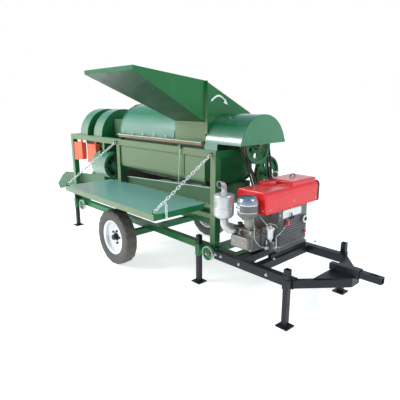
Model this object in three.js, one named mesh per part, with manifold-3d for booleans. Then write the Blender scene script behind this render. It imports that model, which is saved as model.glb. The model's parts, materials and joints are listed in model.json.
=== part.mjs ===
// Trailed threshing machine with its diesel engine, in millimetres, +Z up.
// X runs from the grain end to the drawbar, Y across the machine, and -Y is the feeding side.
import * as THREE from 'three';
import { mergeVertices } from 'three/addons/utils/BufferGeometryUtils.js';
import Module from 'manifold-3d';

const wasm = await Module();
wasm.setup();
const { Manifold, Mesh: SolidMesh } = wasm;

// Shared fits
const seat = 0.3;
const weld = 1;
const overrun = 3;
const meshTolerance = 0.05;
const sheetThickness = 3;
const plateThickness = 4;

// Facet counts of round forms
const tyreSides = 20;
const wheelSides = 18;
const roundSides = 16;
const boreSides = 14;
const pinSides = 12;
const smallSides = 8;
const holeSides = 6;
const spikeSides = 4;
const archSteps = 10;
const concaveSteps = 6;
const pipeSteps = 6;
const pipeSides = 8;

// Main frame, welded from square tube
const frameLength = 2600;
const frameHalfWidth = 320;
const frameTube = 60;
const frameWall = 4;
const upperRailTop = 1185;
const lowerRailTop = 360;
const midPostX = 1090;
const hangerPostX = 790;
const hangerPostWidth = 40;
const hangerPostGap = 9;
const sillTop = 640;
const sillHeight = 40;
const sillWidth = 42;
const frameExtension = 250;

// Road wheels and axle
const axleShare = 31 / 52;
const wheelRadius = 275;
const wheelStandOff = 320;
const tyreWidth = 130;
const tyreWall = 12;
const beadShare = 0.74;
const sidewallShares = [[0.98, 0.34], [0.97, 0.7], [0.8, 0.93]];
const tyreInsideShares = [[0.58, 0], [0.74, 0.85]];
const rimRadius = 156;
const rimFlangeRadius = 171;
const rimThickness = 4;
const rimDishInner = -6;
const rimDishOuter = 20;
const rimBossInner = 8;
const rimBossRadius = 84;
const hubRadius = 42;
const hubLength = 96;
const spindleRadius = 17;
const spindleClearance = 0.6;
const axleBeamSize = 60;
const axleBeamReach = 255;
const axleBeamWall = 5;
const axleVentRadius = 6;

// Support legs, each a square tube that slides in a sleeve
const legSize = 40;
const legWall = 3.5;
const legHeight = 440;
const legFootSize = 100;
const legFootThickness = 8;
const legSlideClearance = 0.4;
const legHoleRadius = 6;
const legHoleDrop = 40;
const sleeveWall = 4.6;
const sleeveHeight = 105;
const rearLegX = 90;
const frontLegInset = 170;
const drawbarLegInset = 35;
const drawbarLegStandOff = 80;

// Small iron guide wheels on the feeding side
const guideWheelRadius = 65;
const guideWheelWidth = 28;
const guideWheelRim = 10;
const guideWheelWeb = 8;
const guideHubRadius = 16;
const guideWheelHoles = 3;
const guideStubRadius = 9;
const guideStubCapRadius = 14;
const guideStubCap = 6;
const guideStandOff = 20;
const guideWheelZ = 305;
const guideRearX = 260;
const guideFrontInset = 45;

// Engine frame and hitch
const chassisHeight = 70;
const chassisWidth = 60;
const chassisTop = 362;
const chassisStartReach = 55;
const chassisEndReach = 830;
const crossBeamRearReach = 270;
const crossBeamFrontReach = 450;
const crossBeamSize = 60;
const bearerHeight = 38;
const bearerNear = 190;
const bearerFar = 300;
const yokeApexReach = 270;
const yokeBarHeight = 60;
const yokeBarWidth = 55;
const gussetLength = 190;
const gussetThickness = 8;
const socketLength = 170;
const socketWall = 6;
const socketLift = 34;
const tongueSize = 48;
const tongueWall = 5;
const tongueEndReach = 185;
const tongueTail = 60;
const tongueSlotLength = 60;
const tongueSlotWidth = 22;
const tongueClearance = 0.5;

// Threshing body
const bodyStart = 1150;
const bodyEndInset = 140;
const drumAxisZ = 1215;
const shaftRadius = 17.5;
const shaftHoleShare = 1.4;
const shaftStart = 178;
const shaftReach = 200;
const spikeLength = 66;
const drumDiscs = 3;
const drumDiscThickness = 6;
const drumBars = 6;
const drumBarRadius = 14;
const spikesPerBar = 3;
const spikeRadius = 6;
const spikeClearance = 10;
const drumEndGap = 24;
const bearingRadius = 52;
const bearingWidth = 32;
const bearingFlange = 12;
const bearingBossShare = 0.72;
const bearingCornerShare = 0.42;
const concaveClearance = 12;
const concaveHalfAngle = 65 * Math.PI / 180;
const concaveThickness = 6;
const concaveSlots = 4;
const concaveRows = 3;
const concaveSlotShares = [0.8, 0.6];
const casingInset = 15;
const casingTuckInset = 64;
const casingBendZ = 930;
const casingMouthZ = 858;
const casingMouthInset = 105;
const casingFlangeReach = 15;
const casingTopZ = 1250;
const coverInset = 20;
const coverRimInset = 13;
const coverStart = 1158;
const coverEndInset = 546;
const coverFlangeInset = 580;
const coverFlangeWidth = 36;
const coverGap = 0.6;
const hingeStandOff = 28;
const hingeAxisZ = 1262;
const hingeKnuckleRadius = 11;
const hingePinRadius = 5;
const hingeClearance = 0.6;
const hingeKnuckleLength = 46;

// Hopper and feeding chute
const throatInset = 534;
const throatTopZ = 1410;
const hopperInset = 20;
const hopperPlateInset = 23;
const hopperFlangeFootZ = 1310;
const hopperPeakZ = 1736;
const hopperFarInset = 58;
const hopperFarZ = 1475;
const hopperHeelZ = 1420;
const chuteReach = 668;
const chuteMouthInset = 838;
const chuteMouthFloorZ = 1788;
const chuteMouthTopZ = 1815;
const chuteFlange = 22;

// Suction fans, winnowing fan and duct
const suctionFanStarts = [246, 572];
const suctionFanLengths = [175, 185];
const suctionAxisZ = 1190;
const suctionInset = 20;
const suctionLowerInset = 64;
const suctionInletRadius = 105;
const suctionMouthHalf = 110;
const suctionMouthShare = 0.85;
const suctionSkirtAngle = 0.02;
const impellerClearance = 31;
const impellerHubRadius = 45;
const impellerBlades = 5;
const impellerBladeThickness = 5;
const impellerEndGap = 22;
const impellerDiscShare = 0.62;
const ductHalfWidth = 140;
const ductTopZ = 1384;
const ductCollar = 24;
const winnowStart = 670;
const winnowEnd = 968;
const winnowRadius = 148;
const winnowInset = 58;
const winnowGap = 3.4;
const winnowMouthRadius = 118;
const winnowHubRadius = 46;
const winnowBlades = 5;
const winnowShaftRadius = 10;
const winnowRotorRadius = 128;
const winnowOutletHeight = 110;
const winnowOutletShare = 0.999;
const winnowSpiderShare = 0.9;
const winnowBossShare = 0.6;

// Side boxes, sieve and grain trough
const sideBoxStarts = [120, 455];
const sideBoxLength = 205;
const sideBoxTop = 1092;
const sideBoxBottom = 868;
const sideBoxDepth = 58;
const sideBoxStandOff = 20;
const sideBoxSlant = 22;
const sieveStart = 1165;
const sieveEndInset = 100;
const sieveInset = 78;
const sieveLip = 34;
const sieveLowZ = 778;
const sieveHighZ = 852;
const sieveSlotsAlong = 5;
const sieveSlotsAcross = 3;
const sieveSlotHalfShares = [0.4, 0.35];
const sieveDeckDrop = 90;
const troughInset = 80;
const troughStart = -400;
const troughEnd = 1140;
const troughNeckX = 650;
const troughNeckGap = 9;
const troughRestHeight = 40;
const troughDepth = 125;
const troughStartTopZ = 640;
const troughEndTopZ = 765;
const spoutReach = 240;
const spoutDrop = 150;
const spoutKneeShares = [0.5, 0.4];
const spoutLipShares = [0.25, 0.45];

// Belt guard, pulleys and belts
const guardStartInset = 136;
const guardEndReach = 260;
const guardInset = 35;
const guardY = -30;
const guardZ = 1190;
const guardSkirtZ = 1240;
const guardTabReach = 10;
const mainPulleyReach = 155;
const mainPulleyRadius = 150;
const mainPulleyWidth = 56;
const pulleyHubRadius = 32;
const pulleyWebThickness = 10;
const pulleyHoles = 4;
const pulleyHoleShare = 0.36;
const pulleyRimDepth = 20;
const beltWidth = 17;
const beltHeight = 11;
const beltClearance = 2.5;
const beltSideClearance = 0.5;
const beltBand = 3;
const smallPulleyRadius = 75;
const counterReach = 62;
const counterInset = 48;
const counterZ = 950;
const counterRadius = 150;
const counterWidth = 46;
const counterShaftRadius = 12;
const counterCollarRadius = 19;

// Feeding table and its chains
const tableStart = 988;
const tableEndInset = 100;
const tableReach = 560;
const tableTopZ = 736;
const tableFlange = 50;
const tableRibs = 3;
const tableRibWidth = 30;
const tableHingeRadius = 6.5;
const tableHingeStandOff = 20;
const tableFlangeSetback = 6;
const tableLugInset = 120;
const tableLugFirstX = 1270;
const tableLugHalf = 12;
const tableLugRadius = 13;
const hingeRailZ = [700, 722];
const hingeRailWidth = 35;
const chainWire = 3;
const chainInnerHalfWidth = 6;
const chainLinks = 11;
const chainLinkSteps = 2;
const chainWeld = 1;
const chainTopInset = 14;
const chainPostInset = 40;
const chainTopZ = 1152;
const chainFootInset = 16;
const eyeLugHalf = 16;
const eyeLugThickness = 4;
const eyeHoleRadius = 8.4;

// Single-cylinder diesel engine
const crankY = 200;
const crankZ = 575;
const engineStartReach = 248;
const engineEndReach = 492;
const engineNear = -95;
const engineFar = 300;
const engineRibs = 11;
const engineRibDepth = 9;
const ribsBottomZ = 440;
const ribsTopZ = 650;
const engineChamfer = 40;
const engineFootThickness = 12;
const cylinderHalf = 30;
const cylinderDrop = 150;
const cylinderEndReach = 410;
const cylinderFaceY = -205;
const blankPlateY = [-55, 211];
const blankPlateZ = [664, 736];
const starterY = 234;
const starterZ = 618;
const starterRadius = 30;
const starterBoreShare = 0.6;
const starterEndReach = 518;
const pumpReach = 66;
const crankRadius = 20;
const crankBossRadius = 38;
const crankDepth = 30;
const headReach = [190, 396];
const headZ = [425, 600];
const headLength = 105;
const headCoverZ = [446, 543];
const headCoverDepth = 40;
const headBevel = 14;
const flywheelRadius = 163;
const flywheelWidth = 46;
const flywheelReach = 212;
const flywheelRim = 30;
const flywheelWeb = 14;
const flywheelHole = 22;
const enginePulleyRadius = 75;
const hoodStartReach = 212;
const hoodEndReach = 502;
const hoodNear = -292;
const hoodFar = 440;
const hoodBottomZ = 745;
const hoodTopZ = 915;
const hoodCorner = 34;
const hoodRise = 34;
const hoodCapShare = 0.6;
const hoodStrap = 20;
const hoodRaisedY = 70;
const hoodBandZ = 862;
const fillerRadius = 32;
const fillerHeight = 26;
const pipeRadius = 20;
const intakeRadius = 27;
const mufflerReach = 162;
const mufflerY = -385;
const mufflerRadius = 83;
const mufflerBottomZ = 668;
const mufflerTopZ = 880;
const mufflerShoulderShares = [[0, 0.5], [0.25, 0.85], [0.55, 1]];
const cleanerReach = 400;
const cleanerY = -378;
const cleanerRadius = 78;
const cleanerBottomZ = 720;
const cleanerTopZ = 898;
const cleanerBowlShares = [[0, 0.6], [0.3, 0.86], [0.3, 1]];
const cleanerDomeShares = [[0.7, 1], [0.7, 1.04], [0.4, 1.04], [0.3, 0.94], [0.08, 0.6]];
const filterReach = 522;
const filterY = -250;
const filterRadius = 27;
const filterBottomZ = 550;
const filterTopZ = 659;
const filterBowlShares = [[0, 0.5], [0.4, 0.8]];
const filterCapShares = [[1, 0.85], [1, 1.2], [0.4, 1.2], [0.4, 0.4], [0, 0.4]];
const filterPadShare = 0.8;
const knobY = -5;
const knobZ = 627;
const knobRadius = 17;
const knobDepth = 22;
const knobWingShares = [0.6, 1.5, 0.35];
const knobBossRadius = 24;
const knobStemRadius = 6;
const knobStemLength = 24;

// Places along the machine follow the frame's length, and places across it follow its width
const bodyEnd = frameLength - bodyEndInset;
const coverEnd = frameLength - coverEndInset;
const coverFlangeEnd = frameLength - coverFlangeInset;
const throatStart = frameLength - throatInset;
const chuteMouthStart = frameLength - chuteMouthInset;
const sieveEnd = frameLength - sieveEndInset;
const tableEnd = frameLength - tableEndInset;
const frontLegX = frameLength - frontLegInset;
const guideFrontX = frameLength - guideFrontInset;
const shaftEnd = frameLength + shaftReach;
const chassisStart = frameLength + chassisStartReach;
const chassisEnd = frameLength + chassisEndReach;
const crossBeamRearX = frameLength + crossBeamRearReach;
const crossBeamFrontX = frameLength + crossBeamFrontReach;
const drawbarLegX = chassisEnd - drawbarLegInset;
const yokeApexX = chassisEnd + yokeApexReach;
const tongueEndX = yokeApexX + tongueEndReach;
const guardStart = frameLength - guardStartInset;
const guardEnd = frameLength + guardEndReach;
const guardTabEnd = frameLength + guardTabReach;
const mainPulleyX = frameLength + mainPulleyReach;
const counterX = frameLength + counterReach;
const engineStart = frameLength + engineStartReach;
const engineEnd = frameLength + engineEndReach;
const cylinderEndX = frameLength + cylinderEndReach;
const starterEndX = frameLength + starterEndReach;
const flywheelX = frameLength + flywheelReach;
const hoodStart = frameLength + hoodStartReach;
const hoodEnd = frameLength + hoodEndReach;
const mufflerX = frameLength + mufflerReach;
const cleanerX = frameLength + cleanerReach;
const filterX = frameLength + filterReach;
const headX = headReach.map((reach) => frameLength + reach);
const tableLugStations = [tableLugFirstX, tableEnd - tableLugInset];
const chainTopXs = [midPostX + chainTopInset, frameLength - chainPostInset];
const chainFootXs = [tableStart + chainFootInset, tableEnd - chainFootInset];
const axleX = frameLength * axleShare;
const wheelTrackHalf = frameHalfWidth + wheelStandOff;
const axleBeamHalf = frameHalfWidth + axleBeamReach;
const drawbarLegOffset = frameHalfWidth + drawbarLegStandOff;
const casingHalfWidth = frameHalfWidth - casingInset;
const casingTuck = frameHalfWidth - casingTuckInset;
const casingMouthY = frameHalfWidth - casingMouthInset;
const casingFlangeY = frameHalfWidth + casingFlangeReach;
const coverRadius = frameHalfWidth - coverInset;
const coverRimRadius = frameHalfWidth - coverRimInset;
const hingeAxisY = frameHalfWidth + hingeStandOff;
const hopperHalfWidth = frameHalfWidth - hopperInset;
const hopperPlateHalf = frameHalfWidth - hopperPlateInset;
const hopperFarY = frameHalfWidth - hopperFarInset;
const chuteMouthY = -frameHalfWidth - chuteReach;
const suctionRadius = frameHalfWidth - suctionInset;
const suctionLowerRadius = frameHalfWidth - suctionLowerInset;
const winnowY = winnowInset - frameHalfWidth;
const sideBoxFaceY = -frameHalfWidth - sideBoxStandOff;
const sieveHalfWidth = frameHalfWidth - sieveInset;
const troughHalfWidth = frameHalfWidth - troughInset;
const guardRadius = frameHalfWidth - guardInset;
const counterY = frameHalfWidth - counterInset;
const tableHingeY = -frameHalfWidth - tableHingeStandOff;
const tableOuterY = -frameHalfWidth - tableReach;
const spikeTipRadius = casingTuck - spikeClearance;
const drumRadius = spikeTipRadius - spikeLength;
const concaveRadius = spikeTipRadius + concaveClearance;
const impellerRadius = suctionLowerRadius - impellerClearance;
const winnowZ = suctionAxisZ - Math.sqrt((suctionLowerRadius + winnowRadius + winnowGap) ** 2 - winnowY ** 2);
const troughNeckHalf = -winnowY - winnowRadius - troughNeckGap;
const hangerPostDrop = upperRailTop - frameTube - winnowZ - winnowRadius - hangerPostGap;

// Colours, roughness and metalness
const paint = (color, roughness, metalness) =>
  new THREE.MeshStandardMaterial({ color, roughness, metalness, flatShading: true });
const greenPaint = paint(0x2f6b45, 0.45, 0.1);
const paleGreenPaint = paint(0x6f8f72, 0.45, 0.1);
const blackPaint = paint(0x1d2127, 0.5, 0.2);
const redPaint = paint(0xd8362f, 0.4, 0.1);
const boxPaint = paint(0xe0563f, 0.5, 0.05);
const greyCasting = paint(0x6c6d6b, 0.6, 0.5);
const brightMetal = paint(0xc9cbcc, 0.35, 0.8);
const zincMetal = paint(0xb9bcbc, 0.4, 0.8);
const tyreRubber = paint(0x26262a, 0.9, 0);
const beltRubber = paint(0x191919, 0.85, 0);

const X_AXIS = new THREE.Vector3(1, 0, 0);
const Y_AXIS = new THREE.Vector3(0, 1, 0);
const Z_AXIS = new THREE.Vector3(0, 0, 1);

// Solids from three.js geometry
function signedVolume(positions, index) {
  let volume = 0;
  const a = new THREE.Vector3();
  const b = new THREE.Vector3();
  const c = new THREE.Vector3();
  for (let i = 0; i < index.length; i += 3) {
    a.fromArray(positions, index[i] * 3);
    b.fromArray(positions, index[i + 1] * 3);
    c.fromArray(positions, index[i + 2] * 3);
    volume += a.dot(b.cross(c));
  }
  return volume;
}

function solidOf(geometry) {
  const bare = geometry.clone();
  bare.deleteAttribute('normal');
  bare.deleteAttribute('uv');
  const merged = mergeVertices(bare);
  const positions = Float32Array.from(merged.attributes.position.array);
  const source = merged.index.array;
  const index = [];
  for (let i = 0; i < source.length; i += 3) {
    const [a, b, c] = [source[i], source[i + 1], source[i + 2]];
    if (a !== b && b !== c && c !== a) index.push(a, b, c);
  }
  if (signedVolume(positions, index) < 0) {
    for (let i = 0; i < index.length; i += 3) {
      [index[i], index[i + 1]] = [index[i + 1], index[i]];
    }
  }
  return new Manifold(new SolidMesh({
    numProp: 3,
    vertProperties: positions,
    triVerts: Uint32Array.from(index),
  }));
}

function geometryOf(solid) {
  const mesh = solid.getMesh();
  const geometry = new THREE.BufferGeometry();
  geometry.setAttribute('position', new THREE.BufferAttribute(Float32Array.from(mesh.vertProperties), 3));
  geometry.setIndex(Array.from(mesh.triVerts));
  geometry.computeVertexNormals();
  return geometry;
}

const join = (...solids) => solids.flat().reduce((whole, solid) => whole.add(solid));
const cut = (solid, ...tools) => tools.flat().reduce((rest, tool) => rest.subtract(tool), solid);

function block(x0, x1, y0, y1, z0, z1) {
  const geometry = new THREE.BoxGeometry(Math.abs(x1 - x0), Math.abs(y1 - y0), Math.abs(z1 - z0));
  geometry.translate((x0 + x1) / 2, (y0 + y1) / 2, (z0 + z1) / 2);
  return solidOf(geometry);
}

// An outline swept along one axis; the outline lies in (y, z), (x, z) or (x, y)
function prism(outline, matrix, depth) {
  const shape = new THREE.Shape(outline.map(([a, b]) => new THREE.Vector2(a, b)));
  const geometry = new THREE.ExtrudeGeometry(shape, { depth, bevelEnabled: false });
  geometry.applyMatrix4(matrix);
  return solidOf(geometry);
}

const prismX = (outline, x0, x1) => prism(outline,
  new THREE.Matrix4().makeBasis(Y_AXIS, Z_AXIS, X_AXIS).setPosition(x0, 0, 0), x1 - x0);
const prismY = (outline, y0, y1) => prism(outline,
  new THREE.Matrix4().makeBasis(X_AXIS, Z_AXIS, Y_AXIS.clone().negate()).setPosition(0, y1, 0), y1 - y0);
const prismZ = (outline, z0, z1) => prism(outline,
  new THREE.Matrix4().setPosition(0, 0, z0), z1 - z0);

// Points on an arc, from one angle to another in radians
function arc(centreA, centreB, radius, from, to, steps) {
  const points = [];
  for (let i = 0; i <= steps; i += 1) {
    const angle = from + (to - from) * i / steps;
    points.push([centreA + radius * Math.cos(angle), centreB + radius * Math.sin(angle)]);
  }
  return points;
}

const circle = (centreA, centreB, radius, sides) =>
  arc(centreA, centreB, radius, 0, 2 * Math.PI, sides).slice(0, -1);
const rodX = (y, z, radius, x0, x1, sides = roundSides) => prismX(circle(y, z, radius, sides), x0, x1);
const rodY = (x, z, radius, y0, y1, sides = roundSides) => prismY(circle(x, z, radius, sides), y0, y1);
const rodZ = (x, y, radius, z0, z1, sides = roundSides) => prismZ(circle(x, y, radius, sides), z0, z1);

// A profile of [along, radius] points turned about X, Y or Z
function turned(profile, matrix, segments) {
  const points = profile.map(([along, radius]) => new THREE.Vector2(radius, along));
  points.push(points[0].clone());
  const geometry = new THREE.LatheGeometry(points, segments);
  geometry.applyMatrix4(matrix);
  return solidOf(geometry);
}

const turnedX = (profile, y, z, segments = wheelSides) => turned(profile,
  new THREE.Matrix4().makeBasis(Y_AXIS, X_AXIS, Z_AXIS.clone().negate()).setPosition(0, y, z), segments);
const turnedY = (profile, x, z, segments = wheelSides) => turned(profile,
  new THREE.Matrix4().setPosition(x, 0, z), segments);
const turnedZ = (profile, x, y, segments = wheelSides) => turned(profile,
  new THREE.Matrix4().makeBasis(X_AXIS, Z_AXIS, Y_AXIS.clone().negate()).setPosition(x, y, 0), segments);

// A bent sheet: a line of points thickened to its left
function bent(line, thickness) {
  const normals = [];
  for (let i = 0; i + 1 < line.length; i += 1) {
    const run = new THREE.Vector2(line[i + 1][0] - line[i][0], line[i + 1][1] - line[i][1]).normalize();
    normals.push(new THREE.Vector2(-run.y, run.x));
  }
  const offset = line.map(([a, b], i) => {
    const before = normals[Math.max(i - 1, 0)];
    const after = normals[Math.min(i, normals.length - 1)];
    const mitre = before.clone().add(after).normalize();
    const reach = thickness / mitre.dot(after);
    return [a + mitre.x * reach, b + mitre.y * reach];
  });
  return [...line, ...offset.reverse()];
}

// A flat convex plate through 3D corners, thickened along a vector
function slab(corners, thickness) {
  const count = corners.length;
  const positions = [];
  corners.forEach((corner) => positions.push(...corner.toArray()));
  corners.forEach((corner) => positions.push(...corner.clone().add(thickness).toArray()));
  const index = [];
  for (let i = 1; i + 1 < count; i += 1) {
    index.push(0, i + 1, i);
    index.push(count, count + i, count + i + 1);
  }
  for (let i = 0; i < count; i += 1) {
    const next = (i + 1) % count;
    index.push(i, next, count + next, i, count + next, count + i);
  }
  const geometry = new THREE.BufferGeometry();
  geometry.setAttribute('position', new THREE.BufferAttribute(new Float32Array(positions), 3));
  geometry.setIndex(index);
  return solidOf(geometry);
}

// A tube or rod along a smooth line of points
function swept(points, radius, steps, sides) {
  const curve = new THREE.CatmullRomCurve3(points, false, 'centripetal');
  const section = new THREE.Shape(circle(0, 0, radius, sides).map(([a, b]) => new THREE.Vector2(a, b)));
  return solidOf(new THREE.ExtrudeGeometry(section, { steps, extrudePath: curve, bevelEnabled: false }));
}

// A square-tube bar: its outside, and the hollow that runs through it
function bar(axis, low, high, wall, openLow, openHigh) {
  const reach = wall + overrun;
  const inner = { low: [...low], high: [...high] };
  [0, 1, 2].forEach((k) => {
    const along = k === axis;
    inner.low[k] = along && openLow ? low[k] - reach : low[k] + wall;
    inner.high[k] = along && openHigh ? high[k] + reach : high[k] - wall;
  });
  const make = (a, b) => block(a[0], b[0], a[1], b[1], a[2], b[2]);
  return { outer: make(low, high), inner: make(inner.low, inner.high) };
}

const hollowFrame = (bars) => cut(join(bars.map((one) => one.outer)), bars.map((one) => one.inner));
const sideSpan = (side, near, far) => (side > 0 ? [near, far] : [-far, -near]);

const machine = new THREE.Group();

function addMesh(name, solid, material, group = machine) {
  const mesh = new THREE.Mesh(geometryOf(solid.simplify(meshTolerance)), material);
  mesh.name = name;
  group.add(mesh);
  return mesh;
}

const sides = [{ name: 'near', side: -1 }, { name: 'far', side: 1 }];

// Derived frame values
const frameInner = frameHalfWidth - frameTube;
const upperRailBottom = upperRailTop - frameTube;
const lowerRailBottom = lowerRailTop - frameTube;
const railStart = frameTube + seat;
const railEnd = frameLength - frameTube - seat;
const sleeveHalf = legSize / 2 + legSlideClearance + sleeveWall;
const legOffset = frameHalfWidth + sleeveWall + legSlideClearance + legSize / 2;
const sleeveBottom = lowerRailTop - sleeveHeight;

function guideStub(x) {
  const wheelOuter = frameHalfWidth + guideStandOff + guideWheelWidth + seat;
  return join(
    rodY(x, guideWheelZ, guideStubRadius, -wheelOuter - weld, -frameHalfWidth + weld, pinSides),
    rodY(x, guideWheelZ, guideStubCapRadius, -wheelOuter - guideStubCap, -wheelOuter, smallSides),
  );
}

function legSleeve(x, side) {
  const bore = legSize / 2 + legSlideClearance;
  const [y0, y1] = sideSpan(side, frameHalfWidth - weld, legOffset + sleeveHalf);
  const shell = block(x - sleeveHalf, x + sleeveHalf, y0, y1, sleeveBottom, lowerRailTop);
  const centre = side * legOffset;
  return {
    shell,
    bore: block(x - bore, x + bore, centre - bore, centre + bore, sleeveBottom - overrun,
      lowerRailTop + overrun),
  };
}

const tableHingeZ = tableTopZ - tableHingeRadius;

function tableLug(x) {
  return join(rodX(tableHingeY, tableHingeZ, tableLugRadius, x - tableLugHalf, x + tableLugHalf,
    smallSides),
    block(x - tableLugHalf, x + tableLugHalf, tableHingeY, -frameHalfWidth + weld,
      hingeRailZ[0] + frameWall, hingeRailZ[1]));
}

function tableLugBore(x) {
  return rodX(tableHingeY, tableHingeZ, tableHingeRadius + hingeClearance, x - tableLugHalf - overrun,
    x + tableLugHalf + overrun, smallSides);
}

// Stub axle that carries the countershaft pulley
function counterStub() {
  const start = frameLength - weld;
  const near = counterX - counterWidth / 2 - seat;
  const far = counterX + counterWidth / 2 + seat;
  return join(rodX(counterY, counterZ, counterCollarRadius, start, near, smallSides),
    rodX(counterY, counterZ, counterShaftRadius, start, far + weld, boreSides),
    rodX(counterY, counterZ, counterCollarRadius, far, far + guideStubCap, smallSides));
}

function addFrame() {
  sides.forEach(({ name, side }) => {
    const [y0, y1] = sideSpan(side, frameInner, frameHalfWidth);
    const [s0, s1] = sideSpan(side, frameInner, frameInner + sillWidth);
    const bars = [
      bar(0, [railStart, y0, upperRailBottom], [railEnd, y1, upperRailTop], frameWall, true, true),
      bar(0, [railStart, y0, lowerRailBottom], [railEnd, y1, lowerRailTop], frameWall, true, true),
      bar(2, [midPostX, y0, lowerRailTop - weld], [midPostX + frameTube, y1, upperRailBottom + weld],
        frameWall, true, true),
      bar(0, [midPostX + frameTube - weld, s0, sillTop - sillHeight], [railEnd, s1, sillTop],
        frameWall, true, true),
    ];
    if (side < 0) {
      bars.push(bar(2, [hangerPostX, y0, upperRailBottom - hangerPostDrop],
        [hangerPostX + hangerPostWidth, y0 + hangerPostWidth, upperRailBottom + weld], frameWall, true,
          true));
    }
    if (side < 0) {
      bars.push(bar(0, [midPostX + frameTube - weld, y0, hingeRailZ[0]],
        [railEnd, y0 + hingeRailWidth, hingeRailZ[1]], frameWall, true, true));
    }
    const sleeves = [rearLegX, frontLegX].map((x) => legSleeve(x, side));
    let solid = join(hollowFrame(bars), sleeves.map((one) => one.shell));
    if (side < 0) {
      solid = join(solid, guideStub(guideRearX), tableLugStations.map(tableLug),
        railEyeLug(chainEnds()[0]));
      solid = cut(solid, tableLugStations.map(tableLugBore));
    }
    solid = cut(solid, sleeves.map((one) => one.bore));
    addMesh(`side_frame_${name}`, solid, greenPaint);
  });

  [{ name: 'left', x: 0 }, { name: 'right', x: frameLength - frameTube }].forEach(({ name, x }) => {
    const x1 = x + frameTube;
    const bars = sides.map(({ side }) => {
      const [y0, y1] = sideSpan(side, frameInner, frameHalfWidth);
      return bar(2, [x, y0, lowerRailBottom], [x1, y1, upperRailTop], frameWall, true, false);
    });
    [upperRailBottom, lowerRailBottom].forEach((z) => bars.push(
      bar(1, [x, -frameInner - weld, z], [x1, frameInner + weld, z + frameTube], frameWall, true, true)));
    if (name === 'right') {
      const end = frameLength + frameExtension;
      sides.forEach(({ side }) => {
        const [y0, y1] = sideSpan(side, frameInner, frameHalfWidth);
        bars.push(bar(0, [x1 - weld, y0, lowerRailBottom], [end, y1, lowerRailTop], frameWall, true, true));
      });
      bars.push(bar(1, [end - frameTube, -frameInner - weld, lowerRailBottom],
        [end, frameInner + weld, lowerRailTop], frameWall, true, true));
    }
    if (name === 'left') {
      const rest = troughFloor(0) - seat;
      bars.push(bar(1, [x, -frameInner - weld, rest - troughRestHeight], [x1, frameInner + weld, rest],
        frameWall, true, true));
    }
    let solid = hollowFrame(bars);
    if (name === 'right') {
      solid = join(solid, guideStub(guideFrontX), counterStub(), railEyeLug(chainEnds()[1]));
    }
    addMesh(`end_frame_${name}`, solid, greenPaint);
  });
}

function addAxle() {
  const half = axleBeamSize / 2;
  const top = lowerRailBottom - seat;
  const shell = cut(
    block(axleX - half, axleX + half, -axleBeamHalf, axleBeamHalf, top - axleBeamSize, top),
    block(axleX - half + axleBeamWall, axleX + half - axleBeamWall,
      -axleBeamHalf + axleBeamWall, axleBeamHalf - axleBeamWall,
      top - axleBeamSize + axleBeamWall, top - axleBeamWall),
    sides.map(({ side }) => rodZ(axleX, side * axleBeamHalf / 2, axleVentRadius,
      top - axleBeamSize - overrun, top - half, holeSides)),
  );
  const spindleEnd = wheelTrackHalf + hubLength / 2 - hubRadius / 2;
  const spindles = sides.map(({ side }) => {
    const [y0, y1] = sideSpan(side, axleBeamHalf - weld, spindleEnd);
    return rodY(axleX, wheelRadius, spindleRadius, y0, y1, boreSides);
  });
  addMesh('axle_beam', join(shell, spindles), greenPaint);
}

// The tyre's section, from bead to bead round the outside and back round the inside
function tyreProfile() {
  const half = tyreWidth / 2;
  const bead = rimRadius + seat;
  const height = wheelRadius - bead;
  const flangeShare = (rimFlangeRadius + weld - bead) / height;
  const outsideShares = [[beadShare, 0], [beadShare, flangeShare], ...sidewallShares];
  const point = ([across, up]) => [across * half, bead + up * height];
  const mirrored = (list) => list.map(([a, b]) => [-a, b]);
  const outer = outsideShares.map(point);
  const inner = tyreInsideShares.map(point).map(([a, b]) => [a, Math.min(b, wheelRadius - tyreWall)]);
  return [...mirrored(outer), [0, wheelRadius], ...outer.reverse(), ...inner, ...mirrored(inner).reverse()];
}

function addRoadWheels() {
  const half = tyreWidth / 2;
  const lip = beadShare * half + seat;
  const barrel = [
    [-lip - rimThickness, rimFlangeRadius], [-lip, rimFlangeRadius], [-lip, rimRadius],
    [lip, rimRadius], [lip, rimFlangeRadius], [lip + rimThickness, rimFlangeRadius],
    [lip + rimThickness, rimRadius - rimThickness], [-lip - rimThickness, rimRadius - rimThickness],
  ];
  const boreRadius = spindleRadius + spindleClearance;
  const hubHalf = hubLength / 2;
  sides.forEach(({ name, side }) => {
    const face = [[rimBossInner, hubRadius - weld], [rimBossInner, rimBossRadius],
      [rimDishInner, rimBossRadius + rimDishOuter], [rimDishOuter, rimRadius - weld]];
    const dish = [...face, ...face.map(([along, radius]) => [along - rimThickness, radius]).reverse()];
    const facing = (profile) => profile.map(([along, radius]) => [side * along, radius]);
    const [b0, b1] = sideSpan(side, -hubHalf - overrun, hubHalf - hubRadius / 2 + seat);
    const hub = cut(rodY(0, 0, hubRadius, -hubHalf, hubHalf, pinSides),
      rodY(0, 0, boreRadius, b0, b1, boreSides));
    const disc = turnedY(facing(dish), 0, 0, tyreSides);
    const wheel = join(turnedY(facing(barrel), 0, 0, tyreSides), disc, hub);
    const rim = addMesh(`road_rim_${name}`, wheel, brightMetal);
    const tyre = addMesh(`road_tyre_${name}`, turnedY(tyreProfile(), 0, 0, tyreSides), tyreRubber);
    [rim, tyre].forEach((mesh) => mesh.position.set(axleX, side * wheelTrackHalf, wheelRadius));
  });
}

// A leg stands at its own origin, with its foot plate on the ground
function legSolid() {
  const half = legSize / 2;
  const inner = half - legWall;
  const foot = legFootSize / 2;
  const holeZ = legHeight - legHoleDrop;
  return cut(
    join(block(-half, half, -half, half, weld, legHeight),
      block(-foot, foot, -foot, foot, 0, legFootThickness)),
    block(-inner, inner, -inner, inner, legFootThickness, legHeight + overrun),
    rodY(0, holeZ, legHoleRadius, -half - overrun, half + overrun, holeSides),
  );
}

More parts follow.
